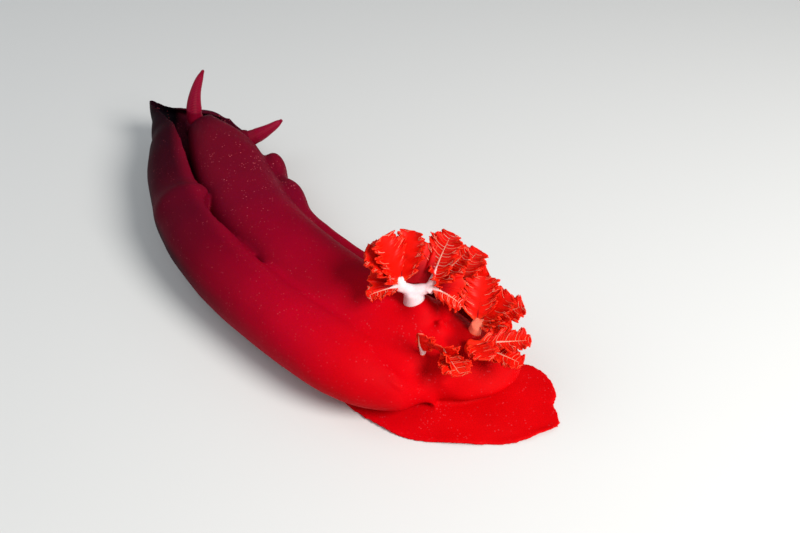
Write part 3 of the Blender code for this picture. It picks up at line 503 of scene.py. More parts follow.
def margin_table():
    rows = sorted((OUTLINE.at(side, s), *values) for side in MARGIN for s, *values in MARGIN[side])
    around = OUTLINE.length
    return [(d - around, *v) for d, *v in rows[-3:]] + rows + [(d + around, *v) for d, *v in rows[:3]]


TABLE = margin_table()


def margin_value(distance, column):
    return through([(row[0], row[column]) for row in TABLE], distance % OUTLINE.length)


def margin_place(distance, out, up):
    x0, s0 = OUTLINE.point(distance)
    nx, ns = OUTLINE.normal(distance)
    return (x0 + nx * out, s0 + ns * out, up)


def margin_ring(distance, steps):
    """The curled sheet at one place on the outline: up its outer face and back down its inner face."""
    side, ear_s, ear_half, ear_rise, ear_curl = EAR
    ear = float(bell(distance, OUTLINE.at(side, ear_s), ear_half))
    reach = margin_value(distance, 1)
    top = margin_value(distance, 2) + RUFFLE_HEIGHT * math.sin(
        RUFFLE_COUNT * 2 * math.pi * distance / OUTLINE.length)
    end = math.radians(margin_value(distance, 3) + ear_curl * ear)
    x0, s0 = OUTLINE.point(distance)
    nx, ns = OUTLINE.normal(distance)
    root = ROOT_HEIGHT + float(np.interp(x0, (-6.0, 6.0), (head_rise(s0, -1), head_rise(s0, 1))))
    a = reach / (1 - math.cos(CURL_START))
    b = (top + ear_rise * ear - root) / (math.sin(min(end, math.pi / 2)) - math.sin(CURL_START))
    centre_out, centre_up = -a * math.cos(CURL_START), root - b * math.sin(CURL_START)
    outer, inner = [], []
    for k in range(steps + 1):
        share = k / steps
        angle = CURL_START + (end - CURL_START) * share
        out, up = centre_out + a * math.cos(angle), centre_up + b * math.sin(angle)
        tangent = Vector((-a * math.sin(angle), b * math.cos(angle))).normalized()
        thick = (ROOT_THICKNESS + (EDGE_THICKNESS - ROOT_THICKNESS) * share) / 2
        pair = [(out + tangent.y * thick, up - tangent.x * thick),
                (out - tangent.y * thick, up + tangent.x * thick)]
        if k == 0:
            pair = [(-ROOT_SINK, root - thick), (-ROOT_SINK, root + thick)]
        lift = 0.0
        for o, u in pair:
            under = back_surface(x0 + nx * o, s0 + ns * o)
            if k > steps // 2 and under is not None:
                lift = max(lift, under + EDGE_CLEARANCE - u)
        outer.append((x0 + nx * pair[0][0], s0 + ns * pair[0][0], pair[0][1] + lift))
        inner.append((x0 + nx * pair[1][0], s0 + ns * pair[1][0], pair[1][1] + lift))
    return outer + inner[::-1]


def add_margin(pile):
    side, corner, half_width = CORNER
    middle = OUTLINE.at(side, corner)
    marks = np.concatenate([np.linspace(0, OUTLINE.length, MARGIN_RINGS, endpoint=False),
                            np.linspace(middle - half_width, middle + half_width, MARGIN_CORNER_RINGS)])
    pile.grid([margin_ring(d, 26) for d in np.unique(marks)], closed=True, looped=True)


def margin_edge(distance):
    """The free edge at one place on the outline: its distance outwards and its height."""
    x0, s0 = OUTLINE.point(distance)
    nx, ns = OUTLINE.normal(distance)
    ring = margin_ring(distance, 8)
    x, s, up = ring[8]
    return (x - x0) * nx + (s - s0) * ns, up


def surface_below(distance, out):
    x, s, _ = margin_place(distance, out, 0.0)
    under = back_surface(x, s)
    return FLANK_TOP if under is None else under


def add_band(pile, first, last, count, section):
    """A closed band along the outline. section(distance, share) gives its corners as (outwards, up)."""
    rows = []
    for share in np.linspace(0, 1, count):
        distance = first + (last - first) * share
        rows.append([margin_place(distance, out, up) for out, up in section(distance, share)])
    pile.grid(rows, closed=True, capped=True)


def crease_section(distance, share):
    """Closes the slit below the rolled edge and leaves a sharp step down to the back."""
    out, up = margin_edge(distance)
    up -= CREASE_SINK * ease(0.14, 0.0, share)
    under = surface_below(distance, out - 1.5)
    return [(out + 5.0, up - 1.6), (out + 0.6, up - 1.2), (out - 0.4, under + 0.2), (out - 1.5, under - 0.8),
            (out - 1.5, under - CREASE_DEPTH), (out + 5.0, under - CREASE_DEPTH)]


def seam_section(distance, share, hold, widening):
    """Fills the groove between the rolled edge and the back, and sinks away at both ends."""
    sink = SEAM_SINK * (1 - ease(0.0, 0.06, share) * ease(1.0, 0.90, share))
    out, up = margin_edge(distance)
    rear = widening * ease(*WIDENING, OUTLINE.point(distance)[1])
    inner = min(out, 0.0) - SEAM_WIDTH - 4.0 * rear
    under = surface_below(distance, inner)
    valley = min((up + under) / 2 - 1.6, under + 1.5 + 3.0 * rear)
    line = [(out + hold, up - 1.2), (out, up - 1.4), ((out + inner) / 2, valley), (inner, under - 0.5),
            (inner - 3.0, under - 3.5), (inner - 3.0, 10.0), (out + hold, 10.0 + up * 0.2)]
    return [(o, u - sink) for o, u in line]


def drape_section(distance, share):
    """The rear of the back, which flows over to the mantle's low rear edge."""
    fade = float(ease(0.0, 0.10, share) * ease(1.0, 0.92, share))
    reach, top = margin_value(distance, 1), margin_value(distance, 2)
    under = surface_below(distance, -DRAPE_INSIDE)
    line = [(-DRAPE_INSIDE, under - 0.8), (-3.0, min(under - 1.2, top + 7.5)), (0.0, top + 4.2),
            (0.5 * reach, top + 1.6), (reach - 0.6, top - 0.9), (reach - 1.6, top - 5.0),
            (-DRAPE_INSIDE, 8.0)]
    return [(o * fade - DRAPE_INSIDE * (1 - fade), u - DRAPE_SINK * (1 - fade)) for o, u in line]


def add_seams(pile):
    side, first, last = CREASE
    add_band(pile, OUTLINE.at(side, first), OUTLINE.at(side, last), 70, crease_section)
    for side, first, last, hold, widening in SEAMS:
        section = partial(seam_section, hold=hold, widening=widening)
        add_band(pile, OUTLINE.at(side, first), OUTLINE.at(side, last), 70, section)
    first, last = OUTLINE.at(1, DRAPE_RIGHT), OUTLINE.length + OUTLINE.at(-1, DRAPE_LEFT)
    add_band(pile, first, last, 90, drape_section)


def add_collars(pile):
    """A low swelling of the skin round the foot of each gill."""
    for gill in GILLS.values():
        foot, crown = gill_base(gill)
        lean = (crown - foot) / np.linalg.norm(crown - foot)
        steps = [COLLAR_FOOT] + [(share * gill.height, radius) for share, radius in COLLAR_STEPS]
        pile.tube([foot + lean * h for h, _ in steps], [gill.radius * r for _, r in steps], 28)


# Head, sheaths and papilla


def rhinophore_axis(name, share):
    (x, s), run, bow = RHINOPHORES[name]
    base = Vector((x, s, back_surface(x, s)))
    return base + Vector(run) * share + Vector(bow) * max(0.0, share) * abs(share)


def add_sheaths(pile):
    for name in RHINOPHORES:
        base = rhinophore_axis(name, 0.0)
        along = Vector(RHINOPHORES[name][1]).normalized()
        path = [base + along * h for h, _ in SHEATH_STEPS]
        pile.tube(path, [SHEATH_RADIUS + extra for _, extra in SHEATH_STEPS], 32)


def add_head(pile):
    centre = np.array(HEAD_CENTRE)
    polar = np.linspace(0.02, math.pi - 0.02, 24)
    turn = np.linspace(0, 2 * math.pi, 40, endpoint=False)
    across, up = np.sin(polar)[:, None], np.cos(polar)[:, None]
    rows = np.stack([across * np.cos(turn), across * np.sin(turn), up * np.ones_like(turn)], axis=-1)
    pile.grid(centre + rows * np.array(HEAD_HALF), closed=True, capped=True)
    front = HEAD_CENTRE[1] + HEAD_HALF[1]
    for side in (-1, 1):
        angles = np.linspace(0, math.pi, 14)
        path = np.stack([HEAD_CENTRE[0] + side * 0.9 * MOUTH_RADIUS * np.sin(angles),
                         front - 1.2 - 0.64 * (1 - np.sin(angles)),
                         HEAD_CENTRE[2] - 1.0 + MOUTH_RADIUS * np.cos(angles)], axis=1)
        pile.tube(path, LIP_RADIUS, 12)


def add_tentacles(pile):
    for side in (-1, 1):
        root = Vector(HEAD_CENTRE) + Vector((side * (HEAD_HALF[0] - 1.5), 6.0, -1.0))
        along = Vector((side * math.sin(TENTACLE_SPREAD), math.cos(TENTACLE_SPREAD), 0.0))
        across = Vector((-along.y * side, along.x * side, 0.0))
        rows = []
        turn = np.linspace(0, 2 * math.pi, 24, endpoint=False)
        for share, width, thick in TENTACLE_SECTIONS:
            middle = root + along * TENTACLE_LENGTH * 0.72 * share
            half = across * TENTACLE_WIDTH / 2 * width
            rows.append([middle + half * math.cos(a) + Vector((0, 0, thick * math.sin(a))) for a in turn])
        pile.grid(rows, closed=True, capped=True)
        for k in range(TENTACLE_FINGERS):
            spread = FINGER_SPREAD * (2 * k / (TENTACLE_FINGERS - 1) - 1)
            out = along * math.cos(spread) + across * math.sin(spread)
            start = root + along * TENTACLE_LENGTH * 0.42 + out * TENTACLE_WIDTH * 0.22
            reach = TENTACLE_LENGTH * (0.42 + 0.14 * math.cos(spread))
            pile.tube([start, start + out * reach * 0.6, start + out * reach * 0.97], [1.0, 0.85, 0.6], 10)


def add_papilla(pile):
    x, s = GILL_CENTRE
    foot = Vector((x, s, back_surface(x, s)))
    path = [foot + Vector((0, 0, h)) for h, _ in PAPILLA_STEPS]
    pile.tube(path, [PAPILLA_RADIUS * r for _, r in PAPILLA_STEPS], 24)


# Skin


def set_points(mesh, points):
    mesh.vertices.foreach_set("co", points.reshape(-1))
    mesh.update()


def relax(points, edges, count, rate):
    """Moves each point part of the way to the mean of its neighbours, by one rate or one for each point."""
    a, b = edges.T
    degree = np.bincount(a, minlength=len(points)) + np.bincount(b, minlength=len(points))
    rate = np.broadcast_to(np.asarray(rate, float), (len(points),))[:, None]
    for _ in range(count):
        total = [np.bincount(a, points[b, i], len(points)) + np.bincount(b, points[a, i], len(points))
                 for i in range(3)]
        mean = np.stack(total, axis=1) / degree[:, None]
        points = points + (mean - points) * rate
    return points


def fair(points, edges, count):
    """Smooths away the voxel steps without shrinking thin edges."""
    for _ in range(count):
        points = relax(points, edges, 1, 0.55)
        points = relax(points, edges, 1, -0.57)
    return points


def folds(straight):
    """Soft swells and hollows of the skin, in millimetres along its normal."""
    total = 0.0
    for across, along, offset, height in SWELLS:
        places = straight * (across, along, across) + (0.0, 0.0, offset)
        total = total + np.array([noise.noise(Vector(place)) for place in places]) * height
    return total * ease(1.5, 6.0, straight[:, 2])


def measures(straight):
    """What the limits of the zones are measured by, for each point of the skin."""
    x, s, z = straight.T
    across, along = x - GILL_CENTRE[0], s - GILL_CENTRE[1]
    return {
        "x": x,
        "s": s,
        "z": z,
        "outside": x - FLANK_SLANT * (z - FLANK_MIDDLE),
        "fold": np.hypot(x - BRIM_FOLD[0], s - BRIM_FOLD[1]),
        "end": np.hypot(x - ROLL_END[0], s - ROLL_END[1]),
        "edge": x - np.interp(s, *rim_line()),
        "ring": np.hypot(across, along),
        "turn": np.abs(np.degrees(np.arctan2(along, across)) - RING_SHADOW_TURN),
    }


def inside(zone, by):
    """How far each point lies inside a zone, from 0 to 1."""
    share = 1.0
    for measure, start, full in zone:
        share = share * ease(start, full, by[measure])
    return share


def build_skin(look):
    pile = Pile()
    for add in (add_trunk, add_foot, add_margin, add_seams, add_sheaths, add_head, add_tentacles,
                add_papilla, add_collars):
        add(pile)
    skin = pile.object("skin")
    points, edges = remesh(skin, SKIN_VOXEL)
    points = fair(points, edges, 10)
    by = measures(unbend(points))
    melt = inside(RIGHT_LOBES, by) * (1 - LOBE_LOSS * inside(LOBE_FRONT, by))
    for share, zone in SMOOTHED:
        melt = np.maximum(melt, share * inside(zone, by))
    mesh = skin.data
    points = relax(points, edges, 50, melt * 0.6)
    set_points(mesh, points)
    points = points + read(mesh.vertex_normals, "vector", 3) * folds(unbend(points))[:, None] * 0.001
    points[:, 2] = np.maximum(points[:, 2], 0.0)
    set_points(mesh, points)
    mesh.shade_smooth()
    paint_skin(mesh)
    mesh.materials.clear()
    mesh.materials.append(look)
    return skin


def rim_line():
    """Stations and offsets of the left roll's free edge, from the rear forwards."""
    marks = np.linspace(OUTLINE.at(-1, 130.0), OUTLINE.at(-1, -5.0), 160)
    places = np.array([margin_place(d, *margin_edge(d)) for d in marks])
    order = np.argsort(places[:, 1])
    return places[order, 1], places[order, 0]


def paint_skin(mesh):
    """Values for each point: how far back it lies, how much painted shade it gets, and where pale dots
    gather.
    """
    by = measures(unbend(read(mesh.vertices, "co", 3)))
    s = by["s"]
    # Painted shade on the left roll's crest and outer flank, darker towards the head where the light falls
    # off.
    crest = np.interp(s, *zip(*CREST_SHADE))
    flank = np.interp(s, *zip(*FLANK_SHADE))
    light = 1 + (crest + (flank - crest) * inside(ROLL_FLANK, by) - 1) * inside(ROLL, by)
    # Painted shade under the front brim.
    light = light * (1 - UNDER_BRIM_SHADE * inside(UNDER_BRIM, by))
    # A painted shadow patch on the back's right side, ahead of the gills.
    painted_shadow = bell(by["x"], PAINTED_SHADOW_PATCH[0], PAINTED_SHADOW_HALF[0]) * bell(s, PAINTED_SHADOW_PATCH[1], PAINTED_SHADOW_HALF[1])
    light = light * (1 - PAINTED_SHADOW_STRENGTH * painted_shadow)
    # Painted light in the groove beside the left roll's front, which lightens its real shadow.
    light = light + (1 - light) * inside(PAINTED_LIGHT_GROOVE, by)
    # Painted highlight along the rolled edge, then painted shadow on the back behind it.
    light = light + (1 - light) * EDGE_BRIGHTER * inside(EDGE_SPAN + EDGE_LIGHT, by)
    fade = np.exp(-np.maximum(by["edge"], 0.0) / EDGE_FADE)
    light = light * (1 - EDGE_DARKER * inside(EDGE_SPAN + EDGE_SHADOW, by) * fade)
    # Painted shadow on the floor of the gill ring, on its right and rear side.
    light = light * (1 - RING_DARKER * inside(RING_SHADOW, by))
    dots = np.maximum(DOTS_LEAST + (1 - DOTS_LEAST) * inside(DOTS_BACK, by), inside(DOTS_RIGHT, by))
    # Front-to-rear share for the colour ramp, which holds both the animal's own colour and painted shade.
    rearward = np.clip((SHADE_FRONT - s) / (SHADE_FRONT - SHADE_REAR), 0.0, 1.0)
    for name, values in (("rearward", rearward), ("painted_shade", 1 - light), ("dots", dots)):
        made = mesh.attributes.new(name, "FLOAT", "POINT")
        made.data.foreach_set("value", values.astype(np.float32))


# Gills


def direction(azimuth, elevation):
    a, e = math.radians(azimuth), math.radians(elevation)
    return np.array([math.cos(a) * math.cos(e), math.sin(a) * math.cos(e), math.sin(e)])


def gill_base(gill):
    """The foot and the crown of a gill's stalk."""
    out = direction(gill.angle, 0)
    x, s = GILL_CENTRE[0] + out[0] * GILL_RING_RADIUS, GILL_CENTRE[1] + out[1] * GILL_RING_RADIUS
    foot = np.array([x, s, back_surface(x, s)])
    lean = out * STALK_LEAN + np.array([0.0, 0.0, 1.0])
    return foot, foot + lean / np.linalg.norm(lean) * gill.height


class Leaf:
    """A plume's membrane as a surface: t runs along its stem, v from the stem to the margin on one side."""

    def __init__(self, start, plume, phase, lobes, rim_side=0):
        self.rim_side = rim_side
        azimuth, elevation, self.length, self.width, droop, bow, self.arm, self.bare = plume
        self.phase = phase
        self.lobes = lobes
        self.across = direction(azimuth + 90, 0)
        steps = np.linspace(0.0, 1.0, 60)
        heading = np.radians(azimuth + bow * (steps - 0.25))
        now = np.radians(elevation - droop * steps)
        flat = np.cos(now)
        self.along = np.stack([np.cos(heading) * flat, np.sin(heading) * flat, np.sin(now)], axis=1)
        middle = (self.along[1:] + self.along[:-1]) / 2 * self.length / (len(steps) - 1)
        self.path = start + np.concatenate([np.zeros((1, 3)), np.cumsum(middle, axis=0)])
        self.steps = steps

    def stem(self, t):
        """Points and tangents of the stem at an array of shares."""
        point = np.stack([np.interp(t, self.steps, self.path[:, i]) for i in range(3)], axis=-1)
        tangent = np.stack([np.interp(t, self.steps, self.along[:, i]) for i in range(3)], axis=-1)
        return point, tangent

    def half(self, t, side):
        """Distance from the stem to the margin, with rounded lobes of uneven length and a fine fringe."""
        envelope = np.array([through(LEAF_ENVELOPE, value) for value in t.ravel()]).reshape(t.shape)
        q = (t - LEAF_START) / (1.0 - LEAF_START) * self.lobes
        lobe = np.abs(np.sin(np.pi * q)) ** 0.5
        uneven = LOBE_VARIATION * np.sin(2.3 * q + self.phase * 3 + side)
        fringe = np.abs(np.sin(np.pi * 4 * q + side)) ** 0.7
        share = RIM_SHARE if side == self.rim_side else 1.0
        lobed = 1 - LOBE_DEPTH + uneven + LOBE_DEPTH * lobe
        return share * self.width / 2 * envelope * lobed * (1 - FRINGE_DEPTH + FRINGE_DEPTH * fringe)

    def surface(self, t, v, side):
        point, tangent = self.stem(t)
        face = np.cross(tangent, self.across)
        reach = self.half(t, side) * v
        q = (t - LEAF_START) / (1.0 - LEAF_START) * self.lobes
        lift = LEAF_CUP * reach * v
        lift = lift + LEAF_RIPPLE * reach * v * np.sin(np.pi * q + self.phase + side)
        lift = lift + LEAF_FINE_RIPPLE * reach * v**2 * np.sin(4 * np.pi * q + self.phase)
        curl = LEAF_CURL * self.width * ease(0.72, 1.0, v) * (0.6 + 0.4 * np.sin(1.7 * q + self.phase))
        return (point + side * (reach - 0.3 * curl)[..., None] * self.across
                + (LEAF_SWEEP * (1 - SWEEP_LOSS * t**2) * reach * v**0.9)[..., None] * tangent
                + (lift - curl * 0.8)[..., None] * face)

    def normal(self, t, v, side):
        step = 0.004
        along = self.surface(t + step, v, side) - self.surface(t - step, v, side)
        out = self.surface(t, v + step, side) - self.surface(t, np.maximum(v - step, 0.0), side)
        normal = np.cross(along, out)
        return normal / np.maximum(np.linalg.norm(normal, axis=-1), 1e-9)[..., None]


def add_leaf(pile, leaf):
    rows = int(leaf.lobes * 18)
    t = np.linspace(LEAF_START * 0.62, 1.0, rows)
    v = np.linspace(0.0, 1.0, 12)
    grid_t, grid_v = np.meshgrid(t, v, indexing="ij")
    left = leaf.surface(grid_t, grid_v, -1)
    right = leaf.surface(grid_t, grid_v, 1)
    left_out, right_out = leaf.normal(grid_t, grid_v, -1), -leaf.normal(grid_t, grid_v, 1)
    sheet = np.concatenate([left[:, ::-1], right[:, 1:]], axis=1)
    outward = np.concatenate([left_out[:, ::-1], right_out[:, 1:]], axis=1)
    share = np.concatenate([v[::-1], v[1:]])
    thick = LEAF_THICKNESS / 2
    pale = 0.22 + 0.07 * ease(0.90, 1.0, share)[None, :] + 0.20 * ease(0.30, 0.14, t)[:, None]
    both = np.concatenate([sheet + outward * thick, (sheet - outward * thick)[:, ::-1]], axis=1)
    pile.grid(both, pale=np.concatenate([pale, pale[:, ::-1]], axis=1), closed=True, capped=True)


def add_veins(pile, leaf, whiteness):
    """Curved side veins like the teeth of a comb, each with short twigs towards the margin."""
    for side in (-1, 1):
        if side == leaf.rim_side:
            continue
        for k in range(leaf.lobes * 2 - 1):
            if k % 2 and leaf.bare:
                continue
            middle = LEAF_START + (1 - LEAF_START) * (k / 2 + 0.5) / leaf.lobes
            reach = SHORT_VEIN_REACH + 0.1 * math.sin(k * 2.1 + leaf.phase) if k % 2 else VEIN_REACH
            start = max(0.0, leaf.bare + 0.1 * math.sin(k * 1.3 + leaf.phase)) if leaf.bare else 0.0
            v = np.linspace(min(start, reach - 0.2), reach, 12)
            slant = VEIN_SLANT / leaf.lobes * (v**2 - 0.3 * v)
            place = middle + slant * (1 + 0.5 * math.sin(k * 2.7 + side))
            path = leaf.surface(place, v, side) + side * VEIN_LIFT * leaf.normal(place, v, side)
            radii = (VEIN_RADIUS + (VEIN_TIP_RADIUS - VEIN_RADIUS) * v) * np.sin(np.linspace(0.7, 1.6, 12))
            strength = whiteness * (0.72 + 0.28 * math.sin(k * 1.9 + leaf.phase * 2 + side))
            pile.tube(path, radii * (1.1 - 0.35 * middle), 5, pale=strength * (1.0 - 0.2 * v))
            if k % 2:
                continue
            for turn in (-TWIG_SPREAD, TWIG_SPREAD):
                w = np.linspace(TWIG_START, TWIG_END, 6)
                drift = turn * ((w - TWIG_START) / (TWIG_END - TWIG_START)) ** 0.8
                place = middle + (drift + 0.25 * w) / leaf.lobes * (1 - LEAF_START)
                path = leaf.surface(place, w, side) + side * VEIN_LIFT * leaf.normal(place, w, side)
                radii = np.linspace(VEIN_TIP_RADIUS * 1.4, VEIN_TIP_RADIUS, 6)
                pile.tube(path, radii, 4, pale=0.8 * strength)


def plume_feet(name, crown, plumes):
    """Where the plumes start: at the ends of the branches, or at the crown where the stalk has none."""
    feet = []
    for azimuth, elevation, length, count in BRANCHES.get(name, []):
        feet += [crown + direction(azimuth, elevation) * length] * count
    return np.array(feet or [crown] * len(plumes))


def add_web(pile, name, crown, plumes):
    """A ruffled web from plume to plume, which closes the gill into a funnel. Its colour is darkest at its
    foot, painted shade inside the funnel.
    """
    if len(plumes) < 2:
        return
    headings = np.unwrap(np.radians([plume.azimuth for plume in plumes]))
    feet = plume_feet(name, crown, plumes)
    stations = np.arange(len(plumes))
    t = np.linspace(0.10, 1.0, 26)
    upright = np.array([0.0, 0.0, 1.0])
    rows = []
    for share in np.linspace(0, len(plumes) - 1, 44 * (len(plumes) - 1)):
        heading = np.interp(share, stations, headings)
        elevation = math.radians(np.interp(share, stations, [plume.elevation for plume in plumes]))
        length = np.interp(share, stations, [plume.length for plume in plumes]) * FAN_REACH
        scallop = 0.86 + 0.14 * abs(math.sin(math.pi * share * WEB_SCALLOPS)) ** 0.6
        scallop += 0.03 * math.sin(share * 31.0)
        side = np.array([-math.sin(heading), math.cos(heading), 0.0])
        flat = np.array([math.cos(heading), math.sin(heading), 0.0])
        now = elevation - WEB_DROOP * t
        ripple = WEB_RIPPLE * length * t**1.5 * math.sin(share * 2 * math.pi * WEB_SCALLOPS)
        inward = -np.sin(now)[:, None] * flat + np.cos(now)[:, None] * upright
        foot = np.array([np.interp(share, stations, feet[:, i]) for i in range(3)])
        run = (np.cos(now) * t)[:, None] * flat + (np.sin(now) * t)[:, None] * upright
        line = foot + run * length * scallop
        rows.append(line + ripple[:, None] * inward + (0.4 * ripple)[:, None] * side)
    sheet = np.array(rows)
    normal = np.cross(np.gradient(sheet, axis=0), np.gradient(sheet, axis=1))
    normal /= np.maximum(np.linalg.norm(normal, axis=2), 1e-9)[..., None]
    thick = LEAF_THICKNESS / 2
    both = np.concatenate([sheet + normal * thick, (sheet - normal * thick)[:, ::-1]], axis=1)
    # Painted shade: darkest at the web's foot, paler towards its rim.
    pale = 0.02 + 0.20 * ease(0.35, 0.95, t) + 0.14 * ease(0.95, 1.0, t)
    pale = np.broadcast_to(pale, sheet.shape[:2])
    pile.grid(both, pale=np.concatenate([pale, pale[:, ::-1]], axis=1), closed=True, capped=True)


def add_stalk(pile, name, gill, leaves):
    """The stalk and the arms that it splits into, remeshed into one smooth body."""
    foot, crown = gill_base(gill)
    rough = Pile()
    heights = np.linspace(0, 1, 14)
    sink = np.array([0, 0, STALK_SINK])
    path = foot - sink + (crown - foot + sink) * heights[:, None]
    rough.tube(path, gill.radius * (1.12 - 0.26 * ease(0.3, 1.0, heights)), 24)
    for azimuth, elevation, length, _ in BRANCHES.get(name, []):
        steps = np.linspace(-2.0, length + 1.0, 10)
        path = crown + direction(azimuth, elevation) * steps[:, None]
        rough.tube(path, gill.radius * np.linspace(*BRANCH_RADII, 10), 20)
    for leaf in leaves:
        t = np.linspace(0.0, ARM_SHARE + 0.1, 16)
        stem, tangent = leaf.stem(t)
        arm = gill.radius * leaf.arm * ease(ARM_SHARE, 0.0, t) + STEM_RADIUS * (1 - 0.5 * t)
        behind = -BARE_ARM_DEPTH * bool(leaf.bare) * ease(0.05, 0.30, t)
        rough.tube(stem + np.cross(tangent, leaf.across) * behind[:, None], arm, 14)
    body = rough.object(name + "_rough")
    points, edges = remesh(body, STALK_VOXEL)
    points = unbend(relax(fair(points, edges, 6), edges, 5, 0.5))
    distance = np.linalg.norm(points - crown, axis=1)
    height = (points - foot) @ (crown - foot) / gill.height
    pale = gill.paleness * (1 - 0.12 * ease(6.0, 16.0, distance))
    pale = pale * ease(0.25 * gill.height, 0.45 * gill.height, height)
    faces = [list(face.vertices) for face in body.data.polygons]
    pile.surface(points, faces, 0.2 + 0.8 * pale)
    bpy.data.objects.remove(body, do_unlink=True)
    for leaf in leaves:
        t = np.linspace(ARM_SHARE, 0.985, 30)
        stem, tangent = leaf.stem(t)
        wide = STEM_RADIUS * (1 - 0.5 * ARM_SHARE)
        radii = wide + (STEM_TIP_RADIUS - wide) * ((t - ARM_SHARE) / (1 - ARM_SHARE)) ** 0.7
        behind = np.cross(tangent, leaf.across) * (-BARE_STEM_DEPTH if leaf.bare else 0.0)
        pile.tube(stem + behind, radii, 10, pale=0.88 - 0.25 * t)


def build_gill(name, gill, look):
    foot, crown = gill_base(gill)
    pile = Pile()
    leaves = []
    feet = plume_feet(name, crown, gill.plumes)
    for k, plume in enumerate(gill.plumes):
        start = feet[k] - direction(plume.azimuth, plume.elevation) * PLUME_SINK
        lobes = MANY_LOBES if plume.width > WIDE_LEAF else FEW_LOBES
        leaves.append(Leaf(start, plume, 1.7 * k, lobes, ONE_SIDED.get(name, 0)))
    add_stalk(pile, name, gill, leaves)
    add_web(pile, name, crown, gill.plumes)
    for leaf in leaves:
        add_leaf(pile, leaf)
        add_veins(pile, leaf, 0.62 + 0.2 * gill.paleness)
    made = pile.object(name + "_plumes")
    dress(made, look)
    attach(made, "root")
    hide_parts(name)


# Rhinophores


def build_rhinophore(name, look):
    shares = np.concatenate([[-0.22, -0.1], np.linspace(0.0, 0.995, 260), [1.0]])
    axis = np.array([rhinophore_axis(name, share) for share in shares])
    along = np.gradient(axis, axis=0)
    along /= np.linalg.norm(along, axis=1)[:, None]
    side = np.cross(along[0], [0.0, 1.0, 0.0])
    turn = np.linspace(0, 2 * math.pi, 40, endpoint=False)
    rows, pale = [], []
    for share, point, now in zip(shares, axis, along):
        side = side - now * side.dot(now)
        side /= np.linalg.norm(side)
        other = np.cross(now, side)
        radius = through(RHINOPHORE_RADII, share)
        if share > TIP_ROUND:
            radius *= math.sqrt(max(0.02, 1 - ((share - TIP_ROUND) / 0.031) ** 2))
        lamellate = float(ease(LAMELLA_START - 0.03, LAMELLA_START + 0.04, share)
                          * ease(LAMELLA_END + 0.03, LAMELLA_END - 0.06, share))
        phase = (share - LAMELLA_START) / (LAMELLA_END - LAMELLA_START) * LAMELLA_COUNT
        leaf = np.abs(np.sin(math.pi * (phase + 0.9 * np.abs(np.sin(turn / 2)))))
        swell = 1 + lamellate * LAMELLA_DEPTH * (leaf - 0.35)
        ring = np.cos(turn)[:, None] * side + np.sin(turn)[:, None] * other
        rows.append(point + radius * swell[:, None] * ring)
        pale.append(lamellate * 0.35 * leaf + 0.15 * share)
    pile = Pile()
    pile.grid(rows, pale=np.array(pale), closed=True, capped=True)
    made = pile.object(name + "_folded")
    dress(made, look)
    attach(made, "root")
    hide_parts(name)


# Materials


class Look:
    """A material whose colour and bump come from nodes, and the rest from plain values."""

    def __init__(self, name):
        self.material = bpy.data.materials.new(name)
        self.material.use_nodes = True
        self.nodes = self.material.node_tree.nodes
        self.links = self.material.node_tree.links
        self.shader = self.nodes["Principled BSDF"]

    def value(self, name):
        node = self.nodes.new("ShaderNodeAttribute")
        node.attribute_name = name
        return node.outputs["Fac"]

    def mix(self, kind, factor, first, second):
        node = self.nodes.new("ShaderNodeMix")
        node.data_type = "RGBA"
        node.blend_type = kind
        for index, value in ((0, factor), (6, first), (7, second)):
            if hasattr(value, "is_output"):
                self.links.new(value, node.inputs[index])
            else:
                node.inputs[index].default_value = value
        return node.outputs[2]

    def ramp(self, source, *stops):
        node = self.nodes.new("ShaderNodeValToRGB")
        while len(node.color_ramp.elements) < len(stops):
            node.color_ramp.elements.new(0.5)
        for element, (place, *colour) in zip(node.color_ramp.elements, stops):
            element.position = place
            element.color = (*(colour if len(colour) == 3 else colour * 3), 1.0)
        self.links.new(source, node.inputs["Fac"])
        return node.outputs["Color"]

    def texture(self, kind, output, scale, **values):
        coordinates = self.nodes.new("ShaderNodeTexCoord")
        node = self.nodes.new(kind)
        self.links.new(coordinates.outputs["Object"], node.inputs["Vector"])
        for key, value in {"Scale": scale, **values}.items():
            node.inputs[key].default_value = value
        return node.outputs[output]

    def noise(self, scale, **values):
        return self.texture("ShaderNodeTexNoise", "Fac", scale, **values)

    def bump(self, height, distance, strength):
        node = self.nodes.new("ShaderNodeBump")
        node.inputs["Distance"].default_value = distance
        node.inputs["Strength"].default_value = strength
        self.links.new(height, node.inputs["Height"])
        self.links.new(node.outputs["Normal"], self.shader.inputs["Normal"])

    def flesh(self, colour, roughness, specular, scatter, radius, scale):
        """Sets the colour and the plain values of wet flesh, and returns the material."""
        self.links.new(colour, self.shader.inputs["Base Color"])
        for socket, value in (("Roughness", roughness), ("Specular IOR Level", specular),
                              ("Subsurface Weight", scatter), ("Subsurface Radius", radius),
                              ("Subsurface Scale", scale)):
            self.shader.inputs[socket].default_value = value
        return self.material


